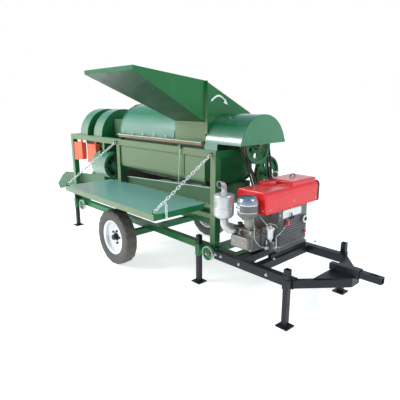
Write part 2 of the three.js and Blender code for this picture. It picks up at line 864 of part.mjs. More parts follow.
function addLegs() {
  sides.forEach(({ name, side }) => {
    addMesh(`rear_leg_${name}`, legSolid(), blackPaint).position.set(rearLegX, side * legOffset, 0);
    addMesh(`front_leg_${name}`, legSolid(), blackPaint).position.set(frontLegX, side * legOffset, 0);
    addMesh(`drawbar_leg_${name}`, legSolid(), blackPaint).position.set(drawbarLegX,
      side * drawbarLegOffset, 0);
  });
}

function addGuideWheels() {
  const half = guideWheelWidth / 2;
  const rimInner = guideWheelRadius - guideWheelRim;
  const rim = [[-half, rimInner], [-half, guideWheelRadius], [half, guideWheelRadius], [half, rimInner]];
  const wheel = () => cut(
    join(
      turnedY(rim, 0, 0, roundSides),
      rodY(0, 0, rimInner + weld, -guideWheelWeb / 2, guideWheelWeb / 2, roundSides),
      rodY(0, 0, guideHubRadius, -half, half, smallSides),
    ),
    rodY(0, 0, guideStubRadius + spindleClearance, -half - overrun, half + overrun, pinSides),
    circle(0, 0, (rimInner + guideHubRadius) / 2, guideWheelHoles).map(([x, z]) =>
      rodY(x, z, (rimInner - guideHubRadius) / 3, -half, half, holeSides)),
  );
  const y = -(frameHalfWidth + guideStandOff + half);
  addMesh('guide_wheel_rear', wheel(), greenPaint).position.set(guideRearX, y, guideWheelZ);
  addMesh('guide_wheel_front', wheel(), greenPaint).position.set(guideFrontX, y, guideWheelZ);
}

// Derived values of the black engine frame
const chassisInner = frameHalfWidth + seat;
const chassisOuter = chassisInner + chassisWidth;
const chassisBottom = chassisTop - chassisHeight;
const bearerTop = chassisTop - weld + bearerHeight;

function drawbarSleeve(side) {
  const half = legSize / 2 + legSlideClearance;
  const [y0, y1] = sideSpan(side, chassisOuter - weld, drawbarLegOffset + half + sleeveWall);
  const shell = block(drawbarLegX - half - sleeveWall, drawbarLegX + half + sleeveWall,
    y0, y1, chassisBottom, chassisTop);
  const centre = side * drawbarLegOffset;
  const bore = block(drawbarLegX - half, drawbarLegX + half, centre - half, centre + half,
    chassisBottom - overrun, chassisTop + overrun);
  return { shell, bore };
}

function addChassis() {
  const bars = [];
  sides.forEach(({ side }) => {
    const [y0, y1] = sideSpan(side, chassisInner, chassisOuter);
    bars.push(bar(0, [chassisStart, y0, chassisBottom], [chassisEnd, y1, chassisTop], frameWall, true,
      true));
  });
  [crossBeamRearX, crossBeamFrontX].forEach((x) => bars.push(
    bar(1, [x, -chassisInner - weld, chassisTop - crossBeamSize],
      [x + crossBeamSize, chassisInner + weld, chassisTop], frameWall, true, true)));
  const bearers = [crossBeamRearX, crossBeamFrontX].map((x) => {
    const lip = crossBeamSize / 4;
    const channel = [[x + lip, chassisTop - weld], [x + crossBeamSize - lip, chassisTop - weld],
      [x + crossBeamSize - lip, bearerTop], [x + lip, bearerTop]];
    return prismY(channel, -bearerNear, bearerFar);
  });
  const sleeves = sides.map(({ side }) => drawbarSleeve(side));
  const solid = cut(join(hollowFrame(bars), bearers, sleeves.map((one) => one.shell)),
    sleeves.map((one) => one.bore));
  addMesh('engine_frame', solid, blackPaint);
}

function addYoke() {
  const base = chassisTop - (chassisHeight - yokeBarHeight) / 2;
  const bottom = base - yokeBarHeight;
  const start = chassisEnd + seat;
  const half = yokeBarWidth / 2;
  const arms = sides.map(({ side }) => {
    const outer = side * (chassisInner + half);
    const apex = side * (half - weld);
    const outline = [
      [start, outer - half], [start, outer + half], [yokeApexX, apex + half], [yokeApexX, apex - half],
    ];
    return prismZ(side > 0 ? outline.reverse() : outline, bottom, base);
  });
  const gussetStart = yokeApexX - gussetLength;
  const armY = (x) => chassisInner * (yokeApexX - x) / (yokeApexX - start) + half;
  const gusset = prismZ([[gussetStart, armY(gussetStart)], [gussetStart, -armY(gussetStart)],
    [yokeApexX, -half * 2], [yokeApexX, half * 2]], base - weld, base + gussetThickness);
  const socketInner = tongueSize / 2 + tongueClearance;
  const socketOuter = socketInner + socketWall;
  const axisZ = base + socketLift;
  const socketStart = yokeApexX - socketLength + tongueTail / 2;
  const socket = block(socketStart, socketStart + socketLength, -socketOuter, socketOuter,
    base, axisZ + socketOuter);
  const bore = block(socketStart - overrun, socketStart + socketLength + overrun,
    -socketInner, socketInner, axisZ - socketInner, axisZ + socketInner);
  const solid = cut(join(arms, gusset, socket), bore);
  addMesh('hitch_yoke', solid, blackPaint);

  const tongueStart = socketStart - tongueTail;
  const tongueHalf = tongueSize / 2;
  const hollow = tongueHalf - tongueWall;
  const slotEnd = tongueEndX - tongueTail / 2;
  const slot = block(slotEnd - tongueSlotLength, slotEnd, -tongueSlotWidth / 2, tongueSlotWidth / 2,
    axisZ, axisZ + tongueHalf + overrun);
  const tongue = cut(
    block(tongueStart, tongueEndX, -tongueHalf, tongueHalf, axisZ - tongueHalf, axisZ + tongueHalf),
    block(tongueStart - overrun, tongueEndX + overrun, -hollow, hollow, axisZ - hollow, axisZ + hollow),
    slot,
  );
  addMesh('drawbar_tongue', tongue, blackPaint);
}

// Sheet casing under and beside the drum, bent round the inside of the upper rail
function casingLine(side) {
  const ledgeZ = upperRailBottom - seat;
  return [
    [casingFlangeY, casingTopZ - sheetThickness], [casingTuck, casingTopZ - sheetThickness],
    [casingTuck, ledgeZ], [casingHalfWidth, ledgeZ], [casingHalfWidth, casingBendZ],
    ...arc(casingMouthY, casingBendZ, casingHalfWidth - casingMouthY, 0, -Math.PI / 2, 5).slice(1)
      .map(([y, z]) => [y, casingBendZ + (z - casingBendZ) * (casingBendZ - casingMouthZ)
        / (casingHalfWidth - casingMouthY)]),
    [casingMouthY - casingFlangeY / 6, casingMouthZ],
  ].map(([y, z]) => [side * y, z]);
}

function hingeStations() {
  const span = coverFlangeEnd - coverStart;
  const stationShares = [0.12, 0.88];
  return stationShares.map((share) => coverStart + share * span);
}

function hingeKnuckle(x0, x1) {
  return rodX(hingeAxisY, hingeAxisZ, hingeKnuckleRadius, x0, x1, smallSides);
}

function addCasing() {
  const start = bodyStart + seat + plateThickness + seat;
  const end = bodyEnd - plateThickness - seat;
  sides.forEach(({ name, side }) => {
    const outline = bent(casingLine(side), -side * sheetThickness);
    let solid = prismX(outline, start, end);
    if (side > 0) {
      const length = hingeKnuckleLength;
      hingeStations().forEach((x) => {
        const outerParts = [[x - 1.5 * length, x - 0.5 * length], [x + 0.5 * length, x + 1.5 * length]];
        outerParts.forEach(([x0, x1]) => {
          const foot = block(x0, x1, casingFlangeY - 2 * sheetThickness, hingeAxisY + sheetThickness,
            casingTopZ - sheetThickness, hingeAxisZ);
          solid = join(solid, foot, hingeKnuckle(x0, x1));
        });
        solid = solid.add(rodX(hingeAxisY, hingeAxisZ, hingePinRadius, x - length, x + length, smallSides));
      });
    }
    addMesh(`casing_${name}`, solid, paleGreenPaint);
  });
}

// End plates close the body and carry the drum bearings
function plateLower() {
  const mouth = casingMouthY - casingFlangeY / 4;
  return [
    [-mouth, casingMouthZ - 2 * sheetThickness], [mouth, casingMouthZ - 2 * sheetThickness],
    [casingHalfWidth + sheetThickness, casingBendZ],
      [casingHalfWidth + sheetThickness, upperRailBottom - seat],
    [frameInner - seat, upperRailBottom - seat], [frameInner - seat, upperRailTop + seat],
  ];
}

function addEndPlates() {
  const lower = plateLower();
  const lowerNear = lower.slice(2).map(([y, z]) => [-y, z]).reverse();
  const x0 = bodyStart + seat;
  const rim = arc(0, casingTopZ, coverRimRadius, 0, Math.PI, archSteps);
  const ductInner = ductHalfWidth - sheetThickness;
  const outletBottom = drumAxisZ + bearingRadius + overrun;
  let left = prismX([...lower, [coverRimRadius, upperRailTop + seat], ...rim,
    [-coverRimRadius, upperRailTop + seat], ...lowerNear], x0, x0 + plateThickness);
  left = cut(left,
    rodX(0, drumAxisZ, shaftRadius * shaftHoleShare, x0 - overrun, x0 + plateThickness + overrun,
      roundSides),
    block(x0 - overrun, x0 + plateThickness + overrun, -ductInner, ductInner,
      outletBottom, ductTopZ - sheetThickness));
  addMesh('end_plate_left', left, greenPaint);

  const x1 = bodyEnd;
  const flange = block(x1 - plateThickness, x1 + chuteFlange, -hopperPlateHalf - sheetThickness,
    -hopperPlateHalf, hopperFlangeFootZ, hopperPeakZ);
  let right = prismX([...lower, [hopperPlateHalf, upperRailTop + seat], [hopperPlateHalf, hopperHeelZ],
    [hopperFarY, hopperFarZ], [-hopperPlateHalf - sheetThickness, hopperPeakZ],
    [-hopperPlateHalf - sheetThickness, upperRailTop + seat], ...lowerNear], x1 - plateThickness, x1);
  right = cut(join(right, flange),
    rodX(0, drumAxisZ, shaftRadius * shaftHoleShare, x1 - plateThickness - overrun, x1 + overrun,
      roundSides));
  addMesh('end_plate_right', right, greenPaint);
}

function addCover() {
  const length = hingeKnuckleLength;
  const inner = coverRadius - sheetThickness;
  const base = casingTopZ + coverGap;
  const flangeTop = base + sheetThickness;
  const shellOutline = [
    ...arc(0, casingTopZ, coverRadius, Math.asin((base - casingTopZ) / coverRadius),
      Math.PI - Math.asin((base - casingTopZ) / coverRadius), archSteps),
    ...arc(0, casingTopZ, inner, Math.PI - Math.asin((base - casingTopZ) / inner),
      Math.asin((base - casingTopZ) / inner), archSteps),
  ];
  const nearFlange = block(coverStart, coverFlangeEnd, -coverRadius - coverFlangeWidth, -inner + weld / 2,
    base, flangeTop);
  const farFlange = block(coverStart, coverEnd, inner - weld / 2, hingeAxisY - hingeKnuckleRadius - weld,
    base, flangeTop);
  let solid = join(prismX(shellOutline, coverStart, coverEnd), nearFlange, farFlange);
  hingeStations().forEach((x) => {
    const x0 = x - length / 2 + weld;
    const x1 = x + length / 2 - weld;
    const clearBore = rodX(hingeAxisY, hingeAxisZ, hingePinRadius + hingeClearance,
      x0 - overrun, x1 + overrun, smallSides);
    const leaf = block(x0, x1, coverRadius - weld, hingeAxisY, base + weld / 2, hingeAxisZ);
    const notches = [[x - 1.5 * length - weld, x0 - weld], [x1 + weld, x + 1.5 * length + weld]];
    notches.forEach(([n0, n1]) => {
      solid = solid.subtract(block(n0, n1, casingFlangeY - 2 * sheetThickness - weld, hingeAxisY + overrun,
        base - weld, flangeTop + weld));
    });
    solid = cut(join(solid, cut(join(leaf, hingeKnuckle(x0, x1)), clearBore)), clearBore);
  });
  addMesh('drum_cover', solid, greenPaint);
}

// Hopper over the drum, open towards the chute
function addHopper() {
  const end = bodyEnd - plateThickness - seat;
  const base = casingTopZ + seat;
  const half = hopperHalfWidth;
  const wallY = -half + sheetThickness;
  const wallLine = [[-casingFlangeY, base], [wallY, base], [wallY, throatTopZ]];
  const nearWall = prismX(bent(wallLine, sheetThickness), throatStart, end);
  const flangeTop = base + sheetThickness;
  const roofLine = [[-half + sheetThickness / 2, hopperPeakZ], [hopperFarY, hopperFarZ],
    [half, hopperHeelZ],
    [half, flangeTop], [casingFlangeY, flangeTop]];
  const roof = prismX(bent(roofLine, -sheetThickness), throatStart, end);
  const side = prismX([[-half, base], [-half, hopperPeakZ], [hopperFarY, hopperFarZ], [half, hopperHeelZ],
    [half, base]], throatStart, throatStart + sheetThickness);
  const opening = rodX(0, casingTopZ, coverRadius - 2 * plateThickness, throatStart - overrun,
    throatStart + sheetThickness + overrun, 2 * archSteps);
  addMesh('hopper_hood', join(nearWall, roof, cut(side, opening)), greenPaint);
}

function addChute() {
  const x0 = throatStart + sheetThickness;
  const x1 = bodyEnd - plateThickness - seat;
  const y0 = -hopperHalfWidth - seat;
  const innerFloor = (x) => new THREE.Vector3(x, y0, throatTopZ);
  const innerTop = (x) => new THREE.Vector3(x, y0, hopperPeakZ);
  const outerFloor = (x) => new THREE.Vector3(x, chuteMouthY, chuteMouthFloorZ);
  const outerTop = (x) => new THREE.Vector3(x, chuteMouthY, chuteMouthTopZ);
  const slope = new THREE.Vector3(0, chuteMouthY - y0, chuteMouthFloorZ - throatTopZ).normalize();
  const floorDown = new THREE.Vector3(0, -slope.z, slope.y).multiplyScalar(sheetThickness);
  const floor = slab([innerFloor(x0), innerFloor(x1), outerFloor(x1), outerFloor(chuteMouthStart)],
    floorDown);
  const flare = new THREE.Vector3(chuteMouthY - y0, x0 - chuteMouthStart, 0).normalize();
  const leftWall = slab([innerFloor(x0), outerFloor(chuteMouthStart), outerTop(chuteMouthStart),
    innerTop(x0)],
    new THREE.Vector3(-flare.x, -flare.y, 0).multiplyScalar(sheetThickness));
  const rightWall = slab([innerFloor(x1), outerFloor(x1), outerTop(x1), innerTop(x1)],
    new THREE.Vector3(-sheetThickness, 0, 0));
  const lip = block(chuteMouthStart, x1, chuteMouthY, chuteMouthY + sheetThickness,
    chuteMouthFloorZ, chuteMouthTopZ);
  const flange = (a, b, low, high) => block(a, b, y0 - sheetThickness, y0, low, high);
  const flanges = [
    flange(x0, x1, throatTopZ - chuteFlange, throatTopZ + sheetThickness),
    flange(x0 - chuteFlange, x0 + sheetThickness, throatTopZ, hopperPeakZ),
    flange(x1 - sheetThickness, x1 + chuteFlange, throatTopZ, hopperPeakZ),
  ];
  addMesh('feed_chute', join(floor, leftWall, rightWall, lip, flanges), greenPaint);
}

// Rotating parts on the drum shaft
const drumStart = bodyStart + plateThickness + drumEndGap;
const drumEnd = bodyEnd - plateThickness - drumEndGap;

function radialPin(x, angle, radius, from, to, sides) {
  const pin = new THREE.CylinderGeometry(radius, radius, to - from, sides);
  pin.translate(0, (from + to) / 2, 0);
  pin.rotateX(angle);
  pin.translate(x, 0, drumAxisZ);
  return solidOf(pin);
}

function addDrum() {
  addMesh('drum_shaft', rodX(0, drumAxisZ, shaftRadius, shaftStart, shaftEnd, boreSides), greyCasting);
  const bore = rodX(0, drumAxisZ, shaftRadius + seat, drumStart - overrun, drumEnd + overrun, boreSides);
  const pieces = [];
  for (let i = 0; i < drumDiscs; i += 1) {
    const x = drumStart + (drumEnd - drumStart - drumDiscThickness) * i / (drumDiscs - 1);
    pieces.push(rodX(0, drumAxisZ, drumRadius, x, x + drumDiscThickness, 2 * drumBars));
  }
  for (let k = 0; k < drumBars; k += 1) {
    const angle = 2 * Math.PI * k / drumBars;
    const y = drumRadius * Math.cos(angle);
    const z = drumAxisZ + drumRadius * Math.sin(angle);
    pieces.push(rodX(y, z, drumBarRadius, drumStart, drumEnd, spikeSides));
    const pitch = (drumEnd - drumStart) / (spikesPerBar + 0.5);
    for (let i = 0; i < spikesPerBar; i += 1) {
      const x = drumStart + pitch * (i + 0.5 + (k % 2) / 2);
      pieces.push(radialPin(x, angle, spikeRadius, drumRadius, spikeTipRadius, spikeSides));
    }
  }
  addMesh('threshing_drum', cut(join(pieces), bore), greyCasting);
}

function addBearings() {
  const bore = shaftRadius + spindleClearance;
  const make = (face, out) => {
    const [x0, x1] = [face, face + out * bearingWidth].sort((a, b) => a - b);
    const [p0, p1] = [face, face + out * bearingFlange].sort((a, b) => a - b);
    const corner = bearingRadius * bearingCornerShare;
    const r = bearingRadius;
    const plate = [[-r, -corner], [-corner, -r], [corner, -r], [r, -corner], [r, corner], [corner, r],
      [-corner, r], [-r, corner]].map(([y, z]) => [y, z + drumAxisZ]);
    return cut(join(prismX(plate, p0, p1), rodX(0, drumAxisZ, bearingRadius * bearingBossShare, x0, x1,
      pinSides)),
      rodX(0, drumAxisZ, bore, x0 - overrun, x1 + overrun, boreSides));
  };
  addMesh('drum_bearing_left', make(bodyStart, -1), greyCasting);
  addMesh('drum_bearing_right', make(bodyEnd + seat, 1), greyCasting);
}

function addConcave() {
  const start = bodyStart + seat + plateThickness + seat;
  const end = bodyEnd - plateThickness - seat;
  const from = -Math.PI / 2 - concaveHalfAngle;
  const to = -Math.PI / 2 + concaveHalfAngle;
  const outer = concaveRadius + concaveThickness;
  let solid = prismX([...arc(0, drumAxisZ, outer, from, to, concaveSteps),
    ...arc(0, drumAxisZ, concaveRadius, to, from, concaveSteps)], start, end);
  const pitch = (end - start) / concaveSlots;
  const step = (to - from) / concaveRows;
  const slotWidth = concaveRadius * step * concaveSlotShares[1];
  for (let i = 0; i < concaveSlots; i += 1) {
    for (let k = 0; k < concaveRows; k += 1) {
      const window = new THREE.BoxGeometry(pitch * concaveSlotShares[0], slotWidth, concaveThickness * 6);
      window.translate(0, 0, concaveRadius + concaveThickness / 2);
      window.rotateX(from + step * (k + 0.5) - Math.PI / 2);
      window.translate(start + pitch * (i + 0.5), 0, drumAxisZ);
      solid = solid.subtract(solidOf(window));
    }
  }
  addMesh('concave_grate', solid, greyCasting);
}

function addImpellers() {
  ['left', 'right'].forEach((name, k) => {
    const x0 = suctionFanStarts[k] + sheetThickness + impellerEndGap;
    const x1 = suctionFanStarts[k] + suctionFanLengths[k] - sheetThickness - impellerEndGap;
    const middle = (x0 + x1) / 2;
    const pieces = [rodX(0, drumAxisZ, impellerHubRadius, x0, x1, smallSides),
      rodX(0, drumAxisZ, impellerRadius * impellerDiscShare, middle - impellerBladeThickness / 2,
        middle + impellerBladeThickness / 2, pinSides)];
    for (let i = 0; i < impellerBlades; i += 1) {
      const blade = new THREE.BoxGeometry(x1 - x0, impellerRadius - impellerHubRadius / 2,
        impellerBladeThickness);
      blade.translate(middle, (impellerRadius + impellerHubRadius / 2) / 2, 0);
      blade.rotateX(2 * Math.PI * i / impellerBlades);
      blade.translate(0, 0, drumAxisZ);
      pieces.push(solidOf(blade));
    }
    const bore = rodX(0, drumAxisZ, shaftRadius + seat, x0 - overrun, x1 + overrun, boreSides);
    addMesh(`suction_impeller_${name}`, cut(join(pieces), bore), zincMetal);
  });
}

function addSuctionFans() {
  const base = upperRailTop + seat;
  const outline = (inset) => [
    ...arc(0, suctionAxisZ, suctionRadius - inset, 0, Math.PI, archSteps),
    [-suctionRadius + inset, base + inset], [-suctionLowerRadius + inset, base + inset],
    ...arc(0, suctionAxisZ, suctionLowerRadius - inset, -Math.PI + suctionSkirtAngle, -suctionSkirtAngle,
      archSteps),
    [suctionLowerRadius - inset, base + inset], [suctionRadius - inset, base + inset],
  ];
  ['left', 'right'].forEach((name, k) => {
    const x0 = suctionFanStarts[k];
    const x1 = x0 + suctionFanLengths[k];
    const mouthTop = suctionAxisZ - suctionLowerRadius * suctionMouthShare;
    const solid = cut(prismX(outline(0), x0, x1),
      prismX(outline(sheetThickness), x0 + sheetThickness, x1 - sheetThickness),
      rodX(0, drumAxisZ, suctionInletRadius, x0 - overrun, x1 + overrun, roundSides),
      block(x0 + 2 * sheetThickness, x1 - 2 * sheetThickness, -suctionMouthHalf, suctionMouthHalf,
        suctionAxisZ - suctionLowerRadius - overrun, mouthTop));
    addMesh(`suction_housing_${name}`, solid, greenPaint);
  });

  const ductStart = suctionFanStarts[1] + suctionFanLengths[1] + seat;
  const ductEnd = bodyStart;
  const ductBottomZ = upperRailTop + seat;
  const inner = ductHalfWidth - sheetThickness;
  const duct = cut(
    join(block(ductStart, ductEnd, -ductHalfWidth, ductHalfWidth, ductBottomZ, ductTopZ),
      block(ductStart, ductStart + plateThickness, -ductHalfWidth - ductCollar, ductHalfWidth + ductCollar,
        ductBottomZ, ductTopZ + ductCollar)),
    block(ductStart - overrun, ductEnd + overrun, -inner, inner,
      ductBottomZ + sheetThickness, ductTopZ - sheetThickness),
    block(ductEnd - bearingWidth - overrun, ductEnd + overrun, -bearingRadius - overrun,
      bearingRadius + overrun,
      ductBottomZ - overrun, ductBottomZ + sheetThickness + overrun),
  );
  addMesh('suction_duct', duct, greenPaint);
}

function addWinnower() {
  const side = winnowRadius * winnowOutletShare;
  const inner = winnowRadius - sheetThickness;
  const outletTop = winnowZ - winnowRadius + winnowOutletHeight;
  const scroll = (radius, reach, top) => join(
    prismX(circle(winnowY, winnowZ, radius, roundSides), winnowStart, winnowEnd),
    prismX([[winnowY, winnowZ - radius], [winnowY + reach, winnowZ - radius], [winnowY + reach, top],
      [winnowY, top]], winnowStart, winnowEnd));
  const hollow = join(
    prismX(circle(winnowY, winnowZ, inner, roundSides), winnowStart + sheetThickness,
      winnowEnd - sheetThickness),
    prismX([[winnowY, winnowZ - inner], [winnowY + side + overrun, winnowZ - inner],
      [winnowY + side + overrun, outletTop - sheetThickness], [winnowY, outletTop - sheetThickness]],
    winnowStart + sheetThickness, winnowEnd - sheetThickness));
  const tabCentre = -frameInner - frameTube + hangerPostWidth / 2;
  const tab = block(hangerPostX + weld, hangerPostX + hangerPostWidth - weld,
    tabCentre - hangerPostWidth / 3,
    tabCentre + hangerPostWidth / 3, winnowZ + winnowRadius * winnowSpiderShare,
    upperRailBottom - hangerPostDrop - seat);
  const spiderReach = winnowRadius * winnowSpiderShare;
  const spider = (x0, x1) => join(
    rodX(winnowY, winnowZ, winnowHubRadius * winnowBossShare, x0, x1, smallSides),
    block(x0, x1, winnowY - spiderReach, winnowY + spiderReach,
      winnowZ - winnowShaftRadius, winnowZ + winnowShaftRadius),
    block(x0, x1, winnowY - winnowShaftRadius, winnowY + winnowShaftRadius,
      winnowZ - spiderReach, winnowZ + spiderReach));
  const mouth = rodX(winnowY, winnowZ, winnowMouthRadius, winnowStart - overrun, winnowEnd + overrun,
    pinSides);
  const bore = rodX(winnowY, winnowZ, winnowShaftRadius + spindleClearance, winnowStart - overrun,
    winnowEnd + overrun, pinSides);
  const solid = cut(join(
    cut(join(scroll(winnowRadius, side, outletTop), cut(tab, rodX(winnowY, winnowZ, inner, winnowStart,
      winnowEnd, roundSides))), hollow, mouth),
    spider(winnowStart, winnowStart + sheetThickness), spider(winnowEnd - sheetThickness, winnowEnd)),
      bore);
  addMesh('winnowing_fan_housing', solid, greenPaint);

  const r0 = winnowStart + 4 * sheetThickness;
  const r1 = winnowEnd - 4 * sheetThickness;
  const pieces = [
    rodX(winnowY, winnowZ, winnowShaftRadius, winnowStart - 2 * winnowHubRadius / 3,
      winnowEnd + 4 * sheetThickness, pinSides),
    rodX(winnowY, winnowZ, winnowHubRadius, r1 - sheetThickness, r1, smallSides),
    rodX(winnowY, winnowZ, winnowHubRadius, r0, r0 + sheetThickness, smallSides),
  ];
  for (let i = 0; i < winnowBlades; i += 1) {
    const blade = new THREE.BoxGeometry(r1 - r0, winnowRotorRadius - winnowShaftRadius / 2, sheetThickness);
    blade.translate((r0 + r1) / 2, (winnowRotorRadius + winnowShaftRadius / 2) / 2, 0);
    blade.rotateX(2 * Math.PI * i / winnowBlades);
    blade.translate(0, winnowY, winnowZ);
    pieces.push(solidOf(blade));
  }
  addMesh('winnowing_fan_rotor', join(pieces), greenPaint);
}

// Red sheet hoods hung under the upper rail on the feeding side
function addSideBoxes() {
  ['left', 'right'].forEach((name, k) => {
    const x0 = sideBoxStarts[k];
    const x1 = x0 + sideBoxLength;
    const y0 = sideBoxFaceY;
    const y1 = y0 + sideBoxDepth;
    const t = sheetThickness * 2 / 3;
    const outer = [[x0, sideBoxBottom], [x1, sideBoxBottom + sideBoxSlant], [x1, sideBoxTop],
      [x0, sideBoxTop]];
    const inner = [[x0 + t, sideBoxBottom - overrun], [x1 - t, sideBoxBottom - overrun],
      [x1 - t, sideBoxTop - t], [x0 + t, sideBoxTop - t]];
    const shell = cut(prismY(outer, y0, y1), prismY(inner, y0 + t, y1 - t));
    const strapX = (x0 + x1) / 2;
    const strap = block(strapX - sideBoxDepth / 2, strapX + sideBoxDepth / 2, y1 - sheetThickness, y1,
      sideBoxTop - weld, upperRailBottom - seat);
    addMesh(`side_box_${name}`, join(shell, strap), boxPaint);
  });
}

function addSieve() {
  const top = (x) => sieveLowZ + (sieveHighZ - sieveLowZ) * (x - sieveStart) / (sieveEnd - sieveStart);
  const lipZ = sillTop + seat;
  const board = [[sieveStart, lipZ], [sieveEnd, lipZ], [sieveEnd, top(sieveEnd)],
    [sieveStart, top(sieveStart)]];
  const deckTop = (x) => top(x) - sieveDeckDrop;
  const deck = [[sieveStart, deckTop(sieveStart) - sheetThickness],
    [sieveEnd, deckTop(sieveEnd) - sheetThickness],
    [sieveEnd, deckTop(sieveEnd)], [sieveStart, deckTop(sieveStart)]];
  const pieces = sides.flatMap(({ side }) => {
    const [y0, y1] = sideSpan(side, sieveHalfWidth - sheetThickness, sieveHalfWidth);
    const [l0, l1] = sideSpan(side, sieveHalfWidth - sheetThickness, sieveHalfWidth + sieveLip);
    return [prismY(board, y0, y1), block(sieveStart, sieveEnd, l0, l1, lipZ, lipZ + sheetThickness)];
  });
  const inside = sieveHalfWidth - sheetThickness / 2;
  pieces.push(prismY(deck, -inside, inside));
  pieces.push(block(sieveEnd - sheetThickness, sieveEnd, -inside, inside,
    deckTop(sieveEnd) - sheetThickness / 2, top(sieveEnd)));
  let solid = join(pieces);
  const pitchX = (sieveEnd - sieveStart) / sieveSlotsAlong;
  const pitchY = 2 * inside / sieveSlotsAcross;
  for (let i = 0; i < sieveSlotsAlong; i += 1) {
    for (let k = 0; k < sieveSlotsAcross; k += 1) {
      const x = sieveStart + pitchX * (i + 0.5);
      const y = -inside + pitchY * (k + 0.5);
      const [halfX, halfY] = [pitchX * sieveSlotHalfShares[0], pitchY * sieveSlotHalfShares[1]];
      solid = solid.subtract(block(x - halfX, x + halfX, y - halfY, y + halfY,
        deckTop(x) - 3 * sheetThickness, deckTop(x) + 3 * sheetThickness));
    }
  }
  addMesh('sieve_box', solid, greenPaint);
}

// Grain trough, wide at the outlet end and narrow beside the winnowing fan
function troughFloor(x) {
  const slope = (troughEndTopZ - troughStartTopZ) / (troughEnd - troughStart);
  return troughStartTopZ - troughDepth + slope * (x - troughStart);
}

function addTrough() {
  const t = sheetThickness;
  const neck = troughNeckX;
  const floorSlab = (x0, x1, half) => prismY([[x0, troughFloor(x0)], [x1, troughFloor(x1)],
    [x1, troughFloor(x1) + t], [x0, troughFloor(x0) + t]], -half, half);
  const wall = (x0, x1, side, half) => {
    const [y0, y1] = sideSpan(side, half - t, half);
    return prismY([[x0, troughFloor(x0)], [x1, troughFloor(x1)], [x1, troughFloor(x1) + troughDepth],
      [x0, troughFloor(x0) + troughDepth]], y0, y1);
  };
  const neckFloor = troughFloor(neck);
  const step = sides.map(({ side }) => {
    const [y0, y1] = sideSpan(side, troughNeckHalf - t, troughHalfWidth);
    return block(neck - t, neck, y0, y1, neckFloor, neckFloor + troughDepth);
  });
  const tipX = troughStart - spoutReach;
  const tipZ = troughFloor(troughStart) - spoutDrop;
  const spoutFloor = prismY([[troughStart + weld, troughFloor(troughStart)], [troughStart + weld,
    troughFloor(troughStart) + t], [tipX, tipZ + t], [tipX, tipZ]], -troughHalfWidth, troughHalfWidth);
  const spoutWalls = sides.map(({ side }) => {
    const [y0, y1] = sideSpan(side, troughHalfWidth - t, troughHalfWidth);
    const top = troughStartTopZ;
    return prismY([[troughStart + weld, troughFloor(troughStart)], [troughStart + weld, top],
      [troughStart - spoutReach * spoutKneeShares[0], top - spoutDrop * spoutKneeShares[1]],
      [tipX - spoutReach * spoutLipShares[0], tipZ + spoutDrop * spoutLipShares[1]], [tipX, tipZ]], y0, y1);
  });
  const solid = join(
    floorSlab(troughStart, neck, troughHalfWidth), floorSlab(neck - t, troughEnd, troughNeckHalf),
    sides.map(({ side }) => wall(troughStart, neck, side, troughHalfWidth)),
    sides.map(({ side }) => wall(neck - t, troughEnd, side, troughNeckHalf)),
    step, spoutFloor, spoutWalls);
  addMesh('grain_trough', solid, greenPaint);
}

// Half-round guard over the drum pulley
function addGuard() {
  const base = upperRailTop + seat;
  const dip = Math.asin((guardZ - base) / guardRadius);
  const t = sheetThickness;
  const band = [...arc(guardY, guardZ, guardRadius, -dip, Math.PI + dip, archSteps),
    ...arc(guardY, guardZ, guardRadius - t, Math.PI + dip, -dip, archSteps)];
  const skirtAngle = Math.asin((guardSkirtZ - guardZ) / guardRadius);
  const face = arc(guardY, guardZ, guardRadius - t / 2, skirtAngle, Math.PI - skirtAngle, archSteps);
  const shell = cut(prismX(band, guardStart, guardEnd),
    block(guardTabEnd, guardEnd + overrun, guardY - guardRadius - overrun, guardY + guardRadius + overrun,
      base - overrun, guardSkirtZ));
  addMesh('belt_guard', join(shell, prismX(face, guardEnd - t, guardEnd)), greenPaint);
}

// Pulleys and the belts round them
function grooveRim(radius, width, grooves) {
  const bottom = radius - beltHeight - beltClearance;
  const slot = beltWidth / 2 + beltSideClearance;
  const pitch = width / grooves;
  const outline = [[-width / 2, radius - pulleyRimDepth], [-width / 2, radius]];
  for (let i = 0; i < grooves; i += 1) {
    const middle = (i - (grooves - 1) / 2) * pitch;
    outline.push([middle - slot, radius], [middle - slot, bottom],
      [middle + slot, bottom], [middle + slot, radius]);
  }
  outline.push([width / 2, radius], [width / 2, radius - pulleyRimDepth]);
  return outline;
}

function webbedPulley(y, z, x, radius, width, grooves, hubRadius) {
  const rim = turnedX(grooveRim(radius, width, grooves).map(([along, r]) => [x + along, r]), y, z, wheelSides);
  const reach = radius - pulleyRimDepth + weld;
  const half = pulleyWebThickness / 2;
  const web = cut(rodX(y, z, reach, x - half, x + half, wheelSides),
    circle(y, z, (reach + hubRadius) / 2, pulleyHoles).map(([a, b]) =>
      rodX(a, b, (reach - hubRadius) * pulleyHoleShare, x - half - overrun, x + half + overrun, smallSides)));
  return join(rim, rodX(y, z, hubRadius, x - width / 2, x + width / 2, smallSides), web);
}

function beltLoop(x, near, far, width, grooves) {
  const hull = (grow, half) => join(
    rodX(near.y, near.z, near.radius + grow, x - half, x + half, wheelSides),
    rodX(far.y, far.z, far.radius + grow, x - half, x + half, wheelSides)).hull();
  const inner = -beltHeight;
  const pitch = width / grooves;
  const band = cut(hull(beltBand + beltClearance, (grooves - 1) * pitch / 2 + beltWidth / 2),
    hull(beltClearance, width));
  const ribs = [];
  for (let i = 0; i < grooves; i += 1) {
    const middle = (i - (grooves - 1) / 2) * pitch;
    const ring = cut(hull(beltClearance + weld / 2, beltWidth / 2), hull(inner, width));
    ribs.push(ring.translate([middle, 0, 0]));
  }
  return join(band, ribs);
}

